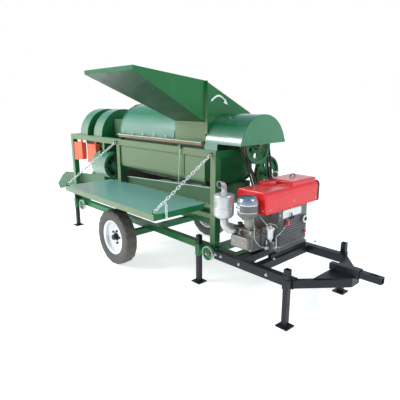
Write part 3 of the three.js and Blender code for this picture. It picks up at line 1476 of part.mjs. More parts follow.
function addPulleys() {
  const bore = rodX(0, drumAxisZ, shaftRadius + seat, counterX - counterWidth,
    mainPulleyX + mainPulleyWidth, boreSides);
  const start = counterX - counterWidth / 2;
  const small = turnedX([...grooveRim(smallPulleyRadius, counterWidth, 1), [counterWidth / 2, shaftRadius],
    [-counterWidth / 2, shaftRadius]].map(([along, r]) => [counterX + along, r]), 0, drumAxisZ, roundSides);
  const hub = rodX(0, drumAxisZ, pulleyHubRadius, start, mainPulleyX, smallSides);
  const main = webbedPulley(0, drumAxisZ, mainPulleyX, mainPulleyRadius, mainPulleyWidth, 2,
    pulleyHubRadius);
  addMesh('drum_pulley', cut(join(main, hub, small), bore), greenPaint);

  const counterBore = rodX(counterY, counterZ, counterShaftRadius + spindleClearance,
    counterX - counterWidth, counterX + counterWidth, boreSides);
  addMesh('countershaft_pulley', cut(webbedPulley(counterY, counterZ, counterX, counterRadius, counterWidth,
    1, pulleyHubRadius), counterBore), greenPaint);

  addMesh('counter_belt', beltLoop(counterX, { y: 0, z: drumAxisZ, radius: smallPulleyRadius },
    { y: counterY, z: counterZ, radius: counterRadius }, counterWidth, 1), beltRubber);
  addMesh('engine_belt', beltLoop(mainPulleyX, { y: 0, z: drumAxisZ, radius: mainPulleyRadius },
    { y: crankY, z: crankZ, radius: enginePulleyRadius }, mainPulleyWidth, 2), beltRubber);
}

// Folding feeding table on its hinge rod
function addTable() {
  const sheetBottom = tableTopZ - sheetThickness;
  const innerEdge = tableHingeY - tableHingeRadius / 2;
  const bottom = tableTopZ - tableFlange;
  const flangeInner = tableHingeY - tableHingeRadius - tableFlangeSetback;
  const t = sheetThickness;
  const pieces = [
    block(tableStart, tableEnd, tableOuterY, innerEdge, sheetBottom, tableTopZ),
    block(tableStart, tableEnd, tableOuterY, tableOuterY + t, bottom, tableTopZ),
    block(tableStart, tableStart + t, tableOuterY, flangeInner, bottom, tableTopZ),
    block(tableEnd - t, tableEnd, tableOuterY, flangeInner, bottom, tableTopZ),
    rodX(tableHingeY, tableHingeZ, tableHingeRadius, tableStart, tableEnd, smallSides),
  ];
  for (let i = 1; i <= tableRibs; i += 1) {
    const x = tableStart + (tableEnd - tableStart) * i / (tableRibs + 1);
    pieces.push(block(x, x + t, tableOuterY + weld, flangeInner, tableTopZ - tableRibWidth,
      tableTopZ - weld));
  }
  const notches = tableLugStations.map((x) => block(x - tableLugHalf - overrun, x + tableLugHalf + overrun,
    tableHingeY - tableLugRadius - overrun, tableHingeY + tableLugRadius + overrun,
    tableHingeZ - tableLugRadius - overrun, tableHingeZ + tableLugRadius + overrun));
  const rodAgain = tableLugStations.map((x) => rodX(tableHingeY, tableHingeZ, tableHingeRadius,
    x - tableLugHalf - 2 * overrun, x + tableLugHalf + 2 * overrun, smallSides));
  const lugs = chainEnds().map(({ bottomEnd }) => eyeLug(bottomEnd.x, bottomEnd.y, bottomEnd.z,
    [bottomEnd.y - eyeLugHalf, bottomEnd.y + eyeLugHalf], [tableTopZ - weld, bottomEnd.z + eyeLugHalf]));
  addMesh('feed_table', join(cut(join(pieces), notches), rodAgain, lugs), greenPaint);
}

// A flat lug with an eye through it along X
function eyeLug(x, y, z, spanY, spanZ) {
  const half = eyeLugThickness / 2;
  return cut(block(x - half, x + half, spanY[0], spanY[1], spanZ[0], spanZ[1]),
    rodX(y, z, eyeHoleRadius, x - half - overrun, x + half + overrun, smallSides));
}

function chainEnds() {
  const topY = -frameHalfWidth - eyeLugHalf;
  const bottomY = tableOuterY + eyeLugHalf;
  const bottomZ = tableTopZ + eyeLugHalf;
  const point = (x, y, z) => new THREE.Vector3(x, y, z);
  return [
    ...['left', 'right'].map((name, k) => ({
      name,
      topEnd: point(chainTopXs[k], topY, chainTopZ),
      bottomEnd: point(chainFootXs[k], bottomY, bottomZ),
    })),
  ];
}

function railEyeLug({ topEnd }) {
  return eyeLug(topEnd.x, topEnd.y, topEnd.z, [topEnd.y - eyeLugHalf, -frameHalfWidth + weld],
    [topEnd.z - eyeLugHalf, topEnd.z + eyeLugHalf]);
}

function chainLink(length, matrix) {
  const stadium = (reach, radius) => [
    ...arc(reach - radius, 0, radius, -Math.PI / 2, Math.PI / 2, chainLinkSteps),
    ...arc(radius - reach, 0, radius, Math.PI / 2, 3 * Math.PI / 2, chainLinkSteps),
  ];
  const ring = cut(
    prismZ(stadium(length / 2 + chainWire, chainInnerHalfWidth + 2 * chainWire), -chainWire, chainWire),
    prismZ(stadium(length / 2 - chainWire, chainInnerHalfWidth), -chainWire - overrun,
      chainWire + overrun));
  return ring.transform(matrix.elements);
}

function addChains() {
  chainEnds().forEach(({ name, topEnd, bottomEnd }) => {
    const along = bottomEnd.clone().sub(topEnd);
    const distance = along.length();
    along.normalize();
    const across = X_AXIS.clone().sub(along.clone().multiplyScalar(along.x)).normalize();
    const normal = along.clone().cross(across);
    const pitch = (distance - 2 * chainWire + chainWeld) / chainLinks;
    const length = pitch + 2 * chainWire - chainWeld;
    const links = [];
    for (let i = 0; i < chainLinks; i += 1) {
      const middle = topEnd.clone().addScaledVector(along, pitch * i + length / 2);
      const [u, v] = i % 2 === 0 ? [across, normal] : [normal, across.clone().negate()];
      links.push(chainLink(length, new THREE.Matrix4().makeBasis(along, u, v).setPosition(middle)));
    }
    addMesh(`chain_${name}`, join(links), zincMetal);
  });
}

// Single-cylinder diesel engine, its cylinder lying towards the feeding side
function addEngine() {
  const foot = bearerTop + seat;
  const top = hoodBottomZ - seat;
  const face = engineEnd - engineRibDepth;
  const ribPitch = (ribsTopZ - ribsBottomZ) / engineRibs;
  const ribs = [];
  for (let i = 0; i < engineRibs; i += 1) {
    const z = ribsBottomZ + ribPitch * i;
    ribs.push(block(face - weld, engineEnd, engineNear + engineRibDepth, engineFar - engineRibDepth,
      z, z + ribPitch / 2));
  }
  const cylinderTop = crankZ + cylinderHalf;
  const cylinderBottom = crankZ - cylinderDrop;
  const pieces = [
    prismX([[engineNear, foot], [engineFar - engineChamfer, foot], [engineFar, foot + engineChamfer],
      [engineFar, top], [engineNear, top]], engineStart, face),
    block(engineStart - engineRibDepth, engineEnd, engineNear - engineRibDepth * 2,
      engineFar + engineRibDepth,
      foot, foot + engineFootThickness),
    block(engineStart + engineRibDepth, cylinderEndX, cylinderFaceY, engineNear + weld, cylinderBottom,
      cylinderTop),
    ribs,
    block(face - weld, face + engineRibDepth / 2, blankPlateY[0], blankPlateY[1], blankPlateZ[0],
      blankPlateZ[1]),
    rodX(starterY, starterZ, starterRadius, face - weld, starterEndX, roundSides),
    rodX(knobY, knobZ, knobBossRadius, face - weld, engineEnd + engineRibDepth / 2, smallSides),
    block(cylinderEndX + engineRibDepth, engineEnd - 2 * engineRibDepth, engineNear - pumpReach,
      engineNear + weld,
      foot + engineFootThickness * 2, foot + engineFootThickness * 2 + pumpReach),
    rodX(crankY, crankZ, crankBossRadius, engineStart - engineRibDepth, engineStart + weld, smallSides),
  ];
  const solid = cut(join(pieces.flat()),
    rodX(starterY, starterZ, starterRadius * starterBoreShare, starterEndX - starterRadius,
      starterEndX + overrun, smallSides),
    rodX(knobY, knobZ, knobStemRadius + spindleClearance, engineEnd - knobStemLength - overrun,
      engineEnd + engineRibDepth, smallSides),
    rodX(crankY, crankZ, crankRadius + spindleClearance, engineStart - engineRibDepth - overrun,
      engineStart + crankDepth + overrun, boreSides));
  addMesh('engine_crankcase', solid, greyCasting);

  const headStart = cylinderFaceY - seat;
  const headEnd = headStart - headLength;
  const head = join(
    block(headX[0], headX[1], headEnd, headStart, headZ[0], headZ[1]),
    prismY([[headX[0] + headBevel, headCoverZ[0]], [headX[1] - headBevel, headCoverZ[0]],
      [headX[1] - headBevel / 2, headCoverZ[0] + headBevel], [headX[1] - headBevel, headCoverZ[1]],
      [headX[0] + headBevel, headCoverZ[1]], [headX[0] + headBevel / 2, headCoverZ[0] + headBevel]],
    headEnd - headCoverDepth, headEnd + weld));
  addMesh('cylinder_head', head, greyCasting);

  const knobStart = engineEnd + engineRibDepth / 2 + seat;
  const wingReach = knobRadius * knobWingShares[1];
  const wingHalf = knobRadius * knobWingShares[2];
  const knob = join(
    rodX(knobY, knobZ, knobStemRadius, engineEnd - knobStemLength, knobStart + weld, smallSides),
    rodX(knobY, knobZ, knobRadius, knobStart, knobStart + knobDepth, smallSides),
    block(knobStart, knobStart + knobDepth * knobWingShares[0], knobY - wingReach, knobY + wingReach,
      knobZ - wingHalf, knobZ + wingHalf));
  addMesh('throttle_knob', knob, redPaint);
}

function addHood() {
  const c = hoodCorner;
  const outline = (inset) => [[hoodStart + inset, hoodBottomZ], [hoodEnd - inset, hoodBottomZ],
    ...arc(hoodEnd - c, hoodTopZ - c, c - inset, 0, Math.PI / 2, 4),
    ...arc(hoodStart + c, hoodTopZ - c, c - inset, Math.PI / 2, Math.PI, 4)];
  const t = sheetThickness;
  const outer = prismY(outline(0), hoodNear, hoodFar);
  const inner = prismY(outline(t).map(([x, z]) => [x, z === hoodBottomZ ? z - overrun : z]),
    hoodNear + t, hoodFar - t);
  const capInset = hoodCorner * hoodCapShare;
  const raised = block(hoodStart + capInset, hoodEnd - capInset, hoodRaisedY, hoodFar - capInset,
    hoodTopZ - weld, hoodTopZ + hoodRise);
  const filler = rodZ((hoodStart + hoodEnd) / 2, (hoodRaisedY + hoodFar) / 2, fillerRadius,
    hoodTopZ + hoodRise - weld, hoodTopZ + hoodRise + fillerHeight, roundSides);
  const band = block(hoodStart - t, hoodEnd + t, hoodNear - t, hoodFar + t, hoodBandZ - t, hoodBandZ + t);
  const straps = [engineNear, engineFar - 2 * hoodStrap].map((y) => block(hoodStart + weld, hoodEnd - weld,
    y, y + 2 * hoodStrap, hoodBottomZ, hoodBottomZ + t));
  addMesh('engine_hood', join(cut(join(outer, raised, filler, band), inner), straps), redPaint);
}

function addEngineFittings() {
  const r = mufflerRadius;
  const z0 = mufflerBottomZ;
  const z1 = mufflerTopZ;
  const shoulder = mufflerShoulderShares.map(([up, out]) => [r * up, r * out]);
  const can = turnedZ([[z0, 0], ...shoulder.map(([up, out]) => [z0 + up, out]),
    ...shoulder.map(([up, out]) => [z1 - up, out]).reverse(), [z1, 0]], mufflerX, mufflerY, roundSides);
  const point = (x, y, z) => new THREE.Vector3(x, y, z);
  const portX = headX[0] + pipeRadius * 1.6;
  const portY = cylinderFaceY - seat - headLength - seat;
  const portZ = headZ[1] - pipeRadius * 1.5;
  const neck = swept([
    point(mufflerX, mufflerY, z0 + r / 4),
    point(mufflerX, mufflerY, z0 - r / 2),
    point(mufflerX + pipeRadius * 0.4, mufflerY + pipeRadius * 0.3, z0 - r),
    point((mufflerX + portX) / 2, (mufflerY * 2 + portY) / 3, portZ + pipeRadius * 0.2),
    point(portX - pipeRadius * 0.3, portY - pipeRadius * 1.2, portZ),
    point(portX, portY - pipeRadius * 0.4, portZ),
  ], pipeRadius, pipeSteps, pipeSides);
  const flange = rodY(portX, portZ, pipeRadius * 1.25, portY - pipeRadius / 2, portY, smallSides);
  const outlet = swept([point(mufflerX, mufflerY, z1 - r / 4), point(mufflerX, mufflerY, z1 + pipeRadius),
    point(mufflerX - pipeRadius * 0.6, mufflerY, z1 + pipeRadius * 2.2),
    point(mufflerX - pipeRadius * 2.6, mufflerY, z1 + pipeRadius * 3)], pipeRadius, pipeSteps / 2,
      pipeSides);
  addMesh('muffler', join(can, neck, flange, outlet), zincMetal);

  const c = cleanerRadius;
  const b0 = cleanerBottomZ;
  const b1 = cleanerTopZ;
  const body = turnedZ([[b0, 0], ...cleanerBowlShares.map(([up, out]) => [b0 + c * up, c * out]),
    ...cleanerDomeShares.map(([down, out]) => [b1 - c * down, c * out]), [b1, 0]],
  cleanerX, cleanerY, roundSides);
  const intakeX = headX[1] - intakeRadius * 1.6;
  const intakeTop = headZ[1] + seat;
  const intakeY = cylinderFaceY - headLength / 2;
  const reach = intakeRadius;
  const intake = swept([
    point(cleanerX, cleanerY, b0 + c * 0.2),
    point(cleanerX + reach * 0.25, cleanerY + reach * 0.3, b0 - c * 0.4),
    point((cleanerX * 3 + intakeX) / 4, cleanerY + reach * 1.5, intakeTop + reach * 2.4),
    point((cleanerX + intakeX * 2) / 3, (cleanerY + intakeY * 2) / 3, intakeTop + reach * 2),
    point(intakeX, intakeY, intakeTop + reach * 1.2),
    point(intakeX, intakeY, intakeTop + reach * 0.4),
  ], intakeRadius, pipeSteps, pipeSides);
  addMesh('air_cleaner', join(body, intake, rodZ(intakeX, intakeY, intakeRadius * 1.35, intakeTop,
    intakeTop + intakeRadius / 2, smallSides)), greyCasting);

  const f = filterRadius;
  const filter = turnedZ([[filterBottomZ, 0],
    ...filterBowlShares.map(([up, out]) => [filterBottomZ + f * up, f * out]),
    ...filterCapShares.map(([down, out]) => [filterTopZ - f * down, f * out]), [filterTopZ, 0]],
  filterX, filterY, smallSides);
  const armZ = filterBottomZ + f;
  const arm = rodX(filterY, armZ, f / 3, headX[1] + seat, filterX, holeSides);
  const padHalf = f * filterPadShare;
  const pad = block(headX[1] + seat, headX[1] + seat + f / 4, filterY - padHalf, filterY + padHalf,
    armZ - padHalf, armZ + padHalf);
  addMesh('fuel_filter', join(filter, arm, pad), zincMetal);
}

function addFlywheel() {
  const half = flywheelWidth / 2;
  const x = flywheelX;
  const pulley = grooveRim(enginePulleyRadius, mainPulleyWidth,
    2).map(([along, r]) => [mainPulleyX + along, r]);
  const rim = turnedX([[x - half, flywheelRadius - flywheelRim], [x - half, flywheelRadius],
    [x + half, flywheelRadius], [x + half, flywheelRadius - flywheelRim]], crankY, crankZ, roundSides);
  const web = rodX(crankY, crankZ, flywheelRadius - flywheelRim + weld, x - flywheelWeb / 2,
    x + flywheelWeb / 2, roundSides);
  const core = turnedX([...pulley, [mainPulleyX + mainPulleyWidth / 2, crankRadius / 2],
    [mainPulleyX - mainPulleyWidth / 2, crankRadius / 2]], crankY, crankZ, roundSides);
  const hub = rodX(crankY, crankZ, crankBossRadius, mainPulleyX, x + half, smallSides);
  const shaft = rodX(crankY, crankZ, crankRadius, mainPulleyX - mainPulleyWidth / 2 - weld,
    engineStart + crankDepth, boreSides);
  const bolts = circle(crankY, crankZ, (flywheelRadius - flywheelRim + crankBossRadius) / 2 + overrun, 4)
    .map(([y, z]) => rodX(y, z, flywheelHole, x - half, x + half, holeSides));
  addMesh('flywheel', join(cut(join(rim, web), bolts), core, hub, shaft), greyCasting);
}

addFrame();
addAxle();
addRoadWheels();
addLegs();
addGuideWheels();
addChassis();
addYoke();
addCasing();
addEndPlates();
addCover();
addHopper();
addChute();
addDrum();
addBearings();
addConcave();
addImpellers();
addSuctionFans();
addWinnower();
addSideBoxes();
addSieve();
addTrough();
addGuard();
addPulleys();
addTable();
addChains();
addEngine();
addHood();
addEngineFittings();
addFlywheel();

// The part's origin is the bottom centre of its box
const box = new THREE.Box3().setFromObject(machine);
const centre = box.getCenter(new THREE.Vector3());
machine.children.forEach((mesh) => mesh.position.sub(new THREE.Vector3(centre.x, centre.y, box.min.z)));

export default machine;
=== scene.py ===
"""Looks for the threshing machine: paint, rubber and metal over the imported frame."""
import json
from math import acos, asin, atan2, cos, degrees, hypot, pi, radians, sin

import bmesh
import bpy
from mathutils import Matrix, Vector


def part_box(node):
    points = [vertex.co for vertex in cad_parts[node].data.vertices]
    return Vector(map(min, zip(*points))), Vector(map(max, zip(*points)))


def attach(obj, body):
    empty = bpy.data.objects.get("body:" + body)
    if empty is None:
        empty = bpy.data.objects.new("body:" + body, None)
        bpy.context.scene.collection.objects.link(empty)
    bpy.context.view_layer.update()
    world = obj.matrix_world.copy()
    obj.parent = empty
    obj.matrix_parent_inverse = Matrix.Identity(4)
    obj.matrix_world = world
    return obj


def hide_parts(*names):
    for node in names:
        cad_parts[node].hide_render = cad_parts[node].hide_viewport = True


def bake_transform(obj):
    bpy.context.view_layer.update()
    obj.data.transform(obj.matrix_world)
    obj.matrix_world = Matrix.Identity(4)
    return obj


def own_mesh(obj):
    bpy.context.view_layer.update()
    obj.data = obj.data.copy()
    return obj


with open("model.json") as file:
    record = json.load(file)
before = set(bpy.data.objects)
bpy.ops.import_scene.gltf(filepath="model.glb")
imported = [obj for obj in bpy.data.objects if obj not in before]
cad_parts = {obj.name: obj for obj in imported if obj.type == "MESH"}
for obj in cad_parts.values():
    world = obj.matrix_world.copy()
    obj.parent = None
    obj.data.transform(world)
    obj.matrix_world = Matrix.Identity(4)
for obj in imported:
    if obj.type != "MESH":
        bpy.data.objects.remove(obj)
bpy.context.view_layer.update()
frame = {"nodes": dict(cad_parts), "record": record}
NODES = frame["nodes"]

# The machine's own axes: x from the left end of the main frame, y from its centre line
LEFT_LOW, LEFT_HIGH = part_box("end_frame_left")
HOME = Vector((LEFT_LOW.x, (LEFT_LOW.y + LEFT_HIGH.y) / 2, 0))

# Camera: place in the machine's axes, and the photograph's view
CAMERA_AT = (4.856, -2.590, 1.559)
CAMERA_AZIMUTH = 47.08
CAMERA_ELEVATION = 13.7
FOCAL_PIXELS = 397
PHOTO_PIXELS = 400
SENSOR_MM = 36


def spot(x, y, z):
    return HOME + Vector((x, y, z))


def turns(count, start=0.0):
    return [start + 2 * pi * k / count for k in range(count)]


def placed(name, data):
    obj = bpy.data.objects.new(name, data)
    bpy.context.scene.collection.objects.link(obj)
    return obj


def centre(node):
    low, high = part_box(node)
    return (low + high) / 2


# Materials
def link(tree, a, b):
    tree.links.new(a, b)


def put(node, values):
    for name, value in values.items():
        node.inputs[name].default_value = value


def noise(tree, coords, scale, detail=4, rough=0.55):
    node = tree.nodes.new("ShaderNodeTexNoise")
    put(node, {"Scale": scale, "Detail": detail, "Roughness": rough})
    link(tree, coords, node.inputs["Vector"])
    return node.outputs["Fac"]


def ramp(tree, factor, low, high, a, b):
    node = tree.nodes.new("ShaderNodeValToRGB")
    node.color_ramp.elements[0].position = low
    node.color_ramp.elements[0].color = (*a, 1)
    node.color_ramp.elements[1].position = high
    node.color_ramp.elements[1].color = (*b, 1)
    link(tree, factor, node.inputs["Fac"])
    return node.outputs["Color"]


def flat(tree, color):
    node = tree.nodes.new("ShaderNodeRGB")
    node.outputs[0].default_value = (*color, 1)
    return node.outputs[0]


def mixed(tree, factor, a, color):
    node = tree.nodes.new("ShaderNodeMix")
    node.data_type = "RGBA"
    link(tree, factor, node.inputs["Factor"])
    link(tree, a, node.inputs[6])
    link(tree, flat(tree, color), node.inputs[7])
    return node.outputs[2]


def ranged(tree, value, low, high, to_low=0.0, to_high=1.0):
    node = tree.nodes.new("ShaderNodeMapRange")
    put(node, {"From Min": low, "From Max": high, "To Min": to_low, "To Max": to_high})
    link(tree, value, node.inputs["Value"])
    return node.outputs["Result"]


def times(tree, a, b):
    node = tree.nodes.new("ShaderNodeMath")
    node.operation = "MULTIPLY"
    link(tree, a, node.inputs[0])
    link(tree, b, node.inputs[1])
    return node.outputs[0]


def split_axes(tree, vector):
    node = tree.nodes.new("ShaderNodeSeparateXYZ")
    link(tree, vector, node.inputs["Vector"])
    return node.outputs


# Heights where the painted reflections and painted shade fade in above the chassis, and where the painted reflection
# on near faces fades out at the hopper's lip, and the shaded rounding of edges
FADE_LOW, FADE_HIGH = 0.42, 0.66
LIP_LOW, LIP_HIGH = 1.5, 1.7
EDGE_RADIUS = 0.002


def surface(name, color, dust, roughness, metallic=0.0, coat=0.0, grain=60, bump=0.05,
            front=None, top=None, under=None, shine=0.5):
    """A finish with cloudy colour, dust in patches, painted reflections on near and upward faces, painted shade on
    downward faces, and a fine bump.
    """
    material = bpy.data.materials.new(name)
    material.use_nodes = True
    tree = material.node_tree
    shader = tree.nodes["Principled BSDF"]
    coords = tree.nodes.new("ShaderNodeTexCoord").outputs["Object"]
    cloudy = noise(tree, coords, 2.5)
    patchy = noise(tree, coords, 9, 6, 0.65)
    fine = noise(tree, coords, grain, 3)
    base = ramp(tree, cloudy, 0.3, 0.7, [c * 0.86 for c in color], [min(1, c * 1.12) for c in color])
    dusty = ramp(tree, patchy, 0.56, 0.78, (0, 0, 0), (0.5, 0.5, 0.5))
    color_out = mixed(tree, dusty, base, dust)
    facing = split_axes(tree, tree.nodes.new("ShaderNodeTexCoord").outputs["Normal"])
    height = split_axes(tree, coords)["Z"]
    # Painted light by the way a face looks: front is a painted reflection on faces towards the near side, top a
    # painted reflection on upward faces, under painted shade on downward faces
    for tinted, axis, low, high in ((front, "Y", -0.72, -0.95), (top, "Z", 0.75, 0.97), (under, "Z", -0.1, -0.6)):
        if not tinted:
            continue
        reach = ranged(tree, height, FADE_LOW, FADE_HIGH)
        if axis == "Y":
            reach = times(tree, reach, ranged(tree, height, LIP_HIGH, LIP_LOW))
        share = times(tree, ranged(tree, facing[axis], low, high, 0, tinted[3]), reach)
        color_out = mixed(tree, share, color_out, tinted[:3])
    link(tree, color_out, shader.inputs["Base Color"])
    link(tree, ranged(tree, patchy, 0.3, 0.7, roughness * 0.8, min(1, roughness * 1.3)), shader.inputs["Roughness"])
    put(shader, {"Metallic": metallic, "Specular IOR Level": shine, "Coat Weight": coat, "Coat Roughness": 0.12})
    edge = tree.nodes.new("ShaderNodeBevel")
    edge.samples = 3
    put(edge, {"Radius": EDGE_RADIUS})
    relief = tree.nodes.new("ShaderNodeBump")
    put(relief, {"Strength": bump, "Distance": 0.002})
    link(tree, fine, relief.inputs["Height"])
    link(tree, edge.outputs["Normal"], relief.inputs["Normal"])
    link(tree, relief.outputs["Normal"], shader.inputs["Normal"])
    return material


DUST = (0.42, 0.4, 0.32)
# Pale olive on faces towards the near side: painted reflection of the ground
FRONT_GROUND_REFLECTION = (0.175, 0.22, 0.12, 0.9)
# Teal on upward faces: painted reflection of the sky
TOP_SKY_REFLECTION = (0.22, 0.43, 0.38, 0.8)
UNDER_SHADE = (0.006, 0.04, 0.014, 0.95)
# The green paints: pale on faces towards the near side and teal on upward faces, painted reflections, and darker
# underneath, painted shade
GREEN = surface("green_paint", (0.008, 0.13, 0.036), (0.025, 0.18, 0.07), 0.34, coat=0.12, bump=0.06,
    front=FRONT_GROUND_REFLECTION, top=TOP_SKY_REFLECTION, under=UNDER_SHADE, shine=0.3)
PALE_GREEN = surface("pale_green_paint", (0.01, 0.12, 0.036), (0.04, 0.17, 0.07), 0.34, coat=0.12, bump=0.08,
    front=(0.155, 0.21, 0.115, 0.95), top=TOP_SKY_REFLECTION, under=UNDER_SHADE, shine=0.3)
# A darker copy of the green paint for the trough, sieve box and duct: painted shade, with weaker painted reflections
SHADED_GREEN = surface("shaded_green_paint", (0.01, 0.1, 0.036), (0.04, 0.15, 0.07), 0.36, coat=0.1, bump=0.08,
    front=(0.09, 0.15, 0.08, 0.7), top=(0.1, 0.2, 0.14, 0.6), under=UNDER_SHADE, shine=0.3)
BLACK = surface("black_paint", (0.008, 0.009, 0.013), (0.035, 0.036, 0.04), 0.4, coat=0.06, bump=0.1, shine=0.3)
# Red paint, lighter on upward faces: painted highlight
RED = surface("red_paint", (0.76, 0.016, 0.02), (0.8, 0.06, 0.06), 0.26, coat=0.3, bump=0.05,
    top=(0.82, 0.12, 0.12, 0.5), shine=0.35)
ORANGE = surface("orange_paint", (0.78, 0.12, 0.055), (0.8, 0.2, 0.12), 0.38, coat=0.1, bump=0.1, shine=0.3)
CASTING = surface("grey_casting", (0.13, 0.127, 0.12), (0.24, 0.22, 0.19), 0.5, metallic=0.35, grain=220, bump=0.4)
HEAD_PAINT = surface("grey_engine_paint", (0.115, 0.115, 0.118), DUST, 0.42, coat=0.2, grain=160, bump=0.25)
ZINC = surface("dull_zinc", (0.58, 0.59, 0.6), (0.42, 0.42, 0.41), 0.34, metallic=0.85, grain=120, bump=0.12)
SILVER = surface("silver_paint", (0.74, 0.75, 0.76), (0.48, 0.47, 0.45), 0.36, metallic=0.45, coat=0.2, bump=0.08)
RUBBER = surface("tyre_rubber", (0.085, 0.077, 0.07), (0.25, 0.22, 0.185), 0.72, grain=180, bump=0.35)
BELT = surface("belt_rubber", (0.02, 0.02, 0.02), (0.08, 0.075, 0.07), 0.7, grain=200, bump=0.3)
STEEL = surface("bright_steel", (0.62, 0.62, 0.6), (0.4, 0.39, 0.36), 0.3, metallic=1.0, grain=150, bump=0.15)
LAMP_BLACK = surface("dark_cap", (0.03, 0.033, 0.04), (0.1, 0.1, 0.1), 0.45, coat=0.3, bump=0.1)

# Glossy green of the cover and guard, pale on faces towards the near side: painted reflection
GLOSS = surface("cover_green", (0.012, 0.16, 0.06), (0.05, 0.22, 0.12), 0.22, coat=0.55, bump=0.03,
    front=(0.2, 0.31, 0.26, 0.75))
# A lighter, bluer copy of the green paint: painted sheen, and paler still on faces towards the near side: painted
# reflection
PAINTED_SHEEN = surface("painted_sheen_green", (0.05, 0.19, 0.11), (0.12, 0.26, 0.17), 0.3, coat=0.35, bump=0.04,
    front=(0.19, 0.27, 0.19, 0.8))
FELT = surface("brown_seal", (0.26, 0.165, 0.09), (0.3, 0.25, 0.16), 0.85, grain=260, bump=0.4)
# Pale green for thin edges, lips and rods, standing for the light lines along them: painted highlight
EDGE_HIGHLIGHT_GREEN = surface("painted_highlight_green_edge", (0.45, 0.57, 0.48), (0.6, 0.63, 0.56), 0.3, coat=0.3, bump=0.1)
BRIGHT = surface("bright_zinc", (0.82, 0.83, 0.82), (0.6, 0.6, 0.57), 0.28, metallic=0.25, coat=0.2, grain=220,
    bump=0.1)
SOOT_AND_SHADE = surface("soot", (0.03, 0.026, 0.024), (0.06, 0.055, 0.05), 0.9, grain=200, bump=0.3)
WORN = surface("worn_edge", (0.5, 0.53, 0.47), (0.3, 0.36, 0.3), 0.42, metallic=0.3, grain=140, bump=0.2)
BARREL = surface("bright_barrel", (0.6, 0.6, 0.6), (0.5, 0.46, 0.44), 0.3, metallic=0.5, coat=0.3, bump=0.08)
DOME = surface("polished_dome", (0.3, 0.36, 0.46), (0.36, 0.4, 0.46), 0.2, metallic=0.75, coat=0.6, bump=0.04)
BRONZE = surface("oily_alloy", (0.27, 0.25, 0.22), (0.2, 0.17, 0.14), 0.42, metallic=0.55, grain=200, bump=0.3)
CAST_ALLOY = surface("cast_alloy", (0.2, 0.195, 0.19), (0.27, 0.23, 0.19), 0.48, metallic=0.5, grain=200, bump=0.4)
WHITE = surface("white_marking", (0.85, 0.86, 0.84), (0.7, 0.72, 0.68), 0.5, bump=0.02)

# Each slot's finishes; the first is the one that the solids get
FINISHES = {
    "green_paint": (GREEN, GLOSS, PAINTED_SHEEN, EDGE_HIGHLIGHT_GREEN),
    "pale_green_paint": (PALE_GREEN,),
    "black_paint": (BLACK, SOOT_AND_SHADE, LAMP_BLACK),
    "red_paint": (RED,),
    "orange_paint": (ORANGE,),
    "grey_casting": (CASTING, HEAD_PAINT, DOME, BRONZE, CAST_ALLOY),
    "zinc": (ZINC, STEEL, BRIGHT, BARREL, WORN),
    "silver_rim": (SILVER, WHITE),
    "tyre": (RUBBER,),
    "belt": (BELT, FELT),
}
SLOT_OF = {entry["node"]: entry["material_slot"] for entry in frame["record"]["subparts"]}
SMOOTH_ANGLE = radians(32)


def smoothed(mesh, angle=SMOOTH_ANGLE):
    mesh.polygons.foreach_set("use_smooth", [True] * len(mesh.polygons))
    mesh.set_sharp_from_angle(angle=angle)


for node_name, node in NODES.items():
    node.data.materials.clear()
    node.data.materials.append(FINISHES[SLOT_OF[node_name]][0])
    smoothed(node.data)
for node_name in ("engine_crankcase", "cylinder_head", "air_cleaner"):
    NODES[node_name].data.materials[0] = HEAD_PAINT
for node_name in ("grain_trough", "sieve_box", "suction_duct"):
    NODES[node_name].data.materials[0] = SHADED_GREEN


# Mesh helpers
def piece(name, mesh_builder, material, body="frame", smooth=SMOOTH_ANGLE, bevel=0.0):
    mesh = bpy.data.meshes.new(name)
    shape = bmesh.new()
    mesh_builder(shape)
    bmesh.ops.recalc_face_normals(shape, faces=shape.faces)
    shape.to_mesh(mesh)
    shape.free()
    obj = placed(name, mesh)
    mesh.materials.append(material)
    smoothed(mesh, smooth)
    if bevel:
        soften = obj.modifiers.new("edges", "BEVEL")
        soften.width = bevel
        soften.segments = 2
        soften.limit_method = "ANGLE"
        soften.angle_limit = radians(38)
        soften.harden_normals = True
    if body:
        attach(obj, body)
    return obj


def around(side, other, radius, count):
    return [radius * (side * cos(t) + other * sin(t)) for t in turns(count)]


def skin(shape, rings, closed=False):
    """Joins each ring of corners to the next; a closed run joins its last ring to its first."""
    for a, b in zip(rings, rings[1:] + rings[:1] if closed else rings[1:]):
        for k in range(len(a)):
            n = (k + 1) % len(a)
            shape.faces.new((a[k], a[n], b[n], b[k]))


def capped(shape, rings):
    skin(shape, rings)
    shape.faces.new(rings[0][::-1])
    shape.faces.new(rings[-1])


AXES = {"X": Matrix(((0, 0, 1), (1, 0, 0), (0, 1, 0))), "Y": Matrix(((1, 0, 0), (0, 0, 1), (0, 1, 0))),
    "Z": Matrix.Identity(3)}


def lathe(profile, axis, middle, steps=64):
    """Turns a closed profile of (along, radius) points about an axis through a point."""
    basis = AXES[axis]

    def build(shape):
        rings = []
        for along, radius in profile:
            if radius < 1e-6:
                rings.append([shape.verts.new(middle + basis @ Vector((0, 0, along)))])
                continue
            rings.append([shape.verts.new(middle + basis @ Vector((radius * cos(t), radius * sin(t), along)))
                for t in turns(steps)])
        for a, b in zip(rings, rings[1:] + rings[:1]):
            for k in range(steps):
                n = (k + 1) % steps
                corners = [a[k % len(a)], a[n % len(a)], b[n % len(b)], b[k % len(b)]]
                unique = list(dict.fromkeys(corners))
                if len(unique) > 2:
                    shape.faces.new(unique)
    return build


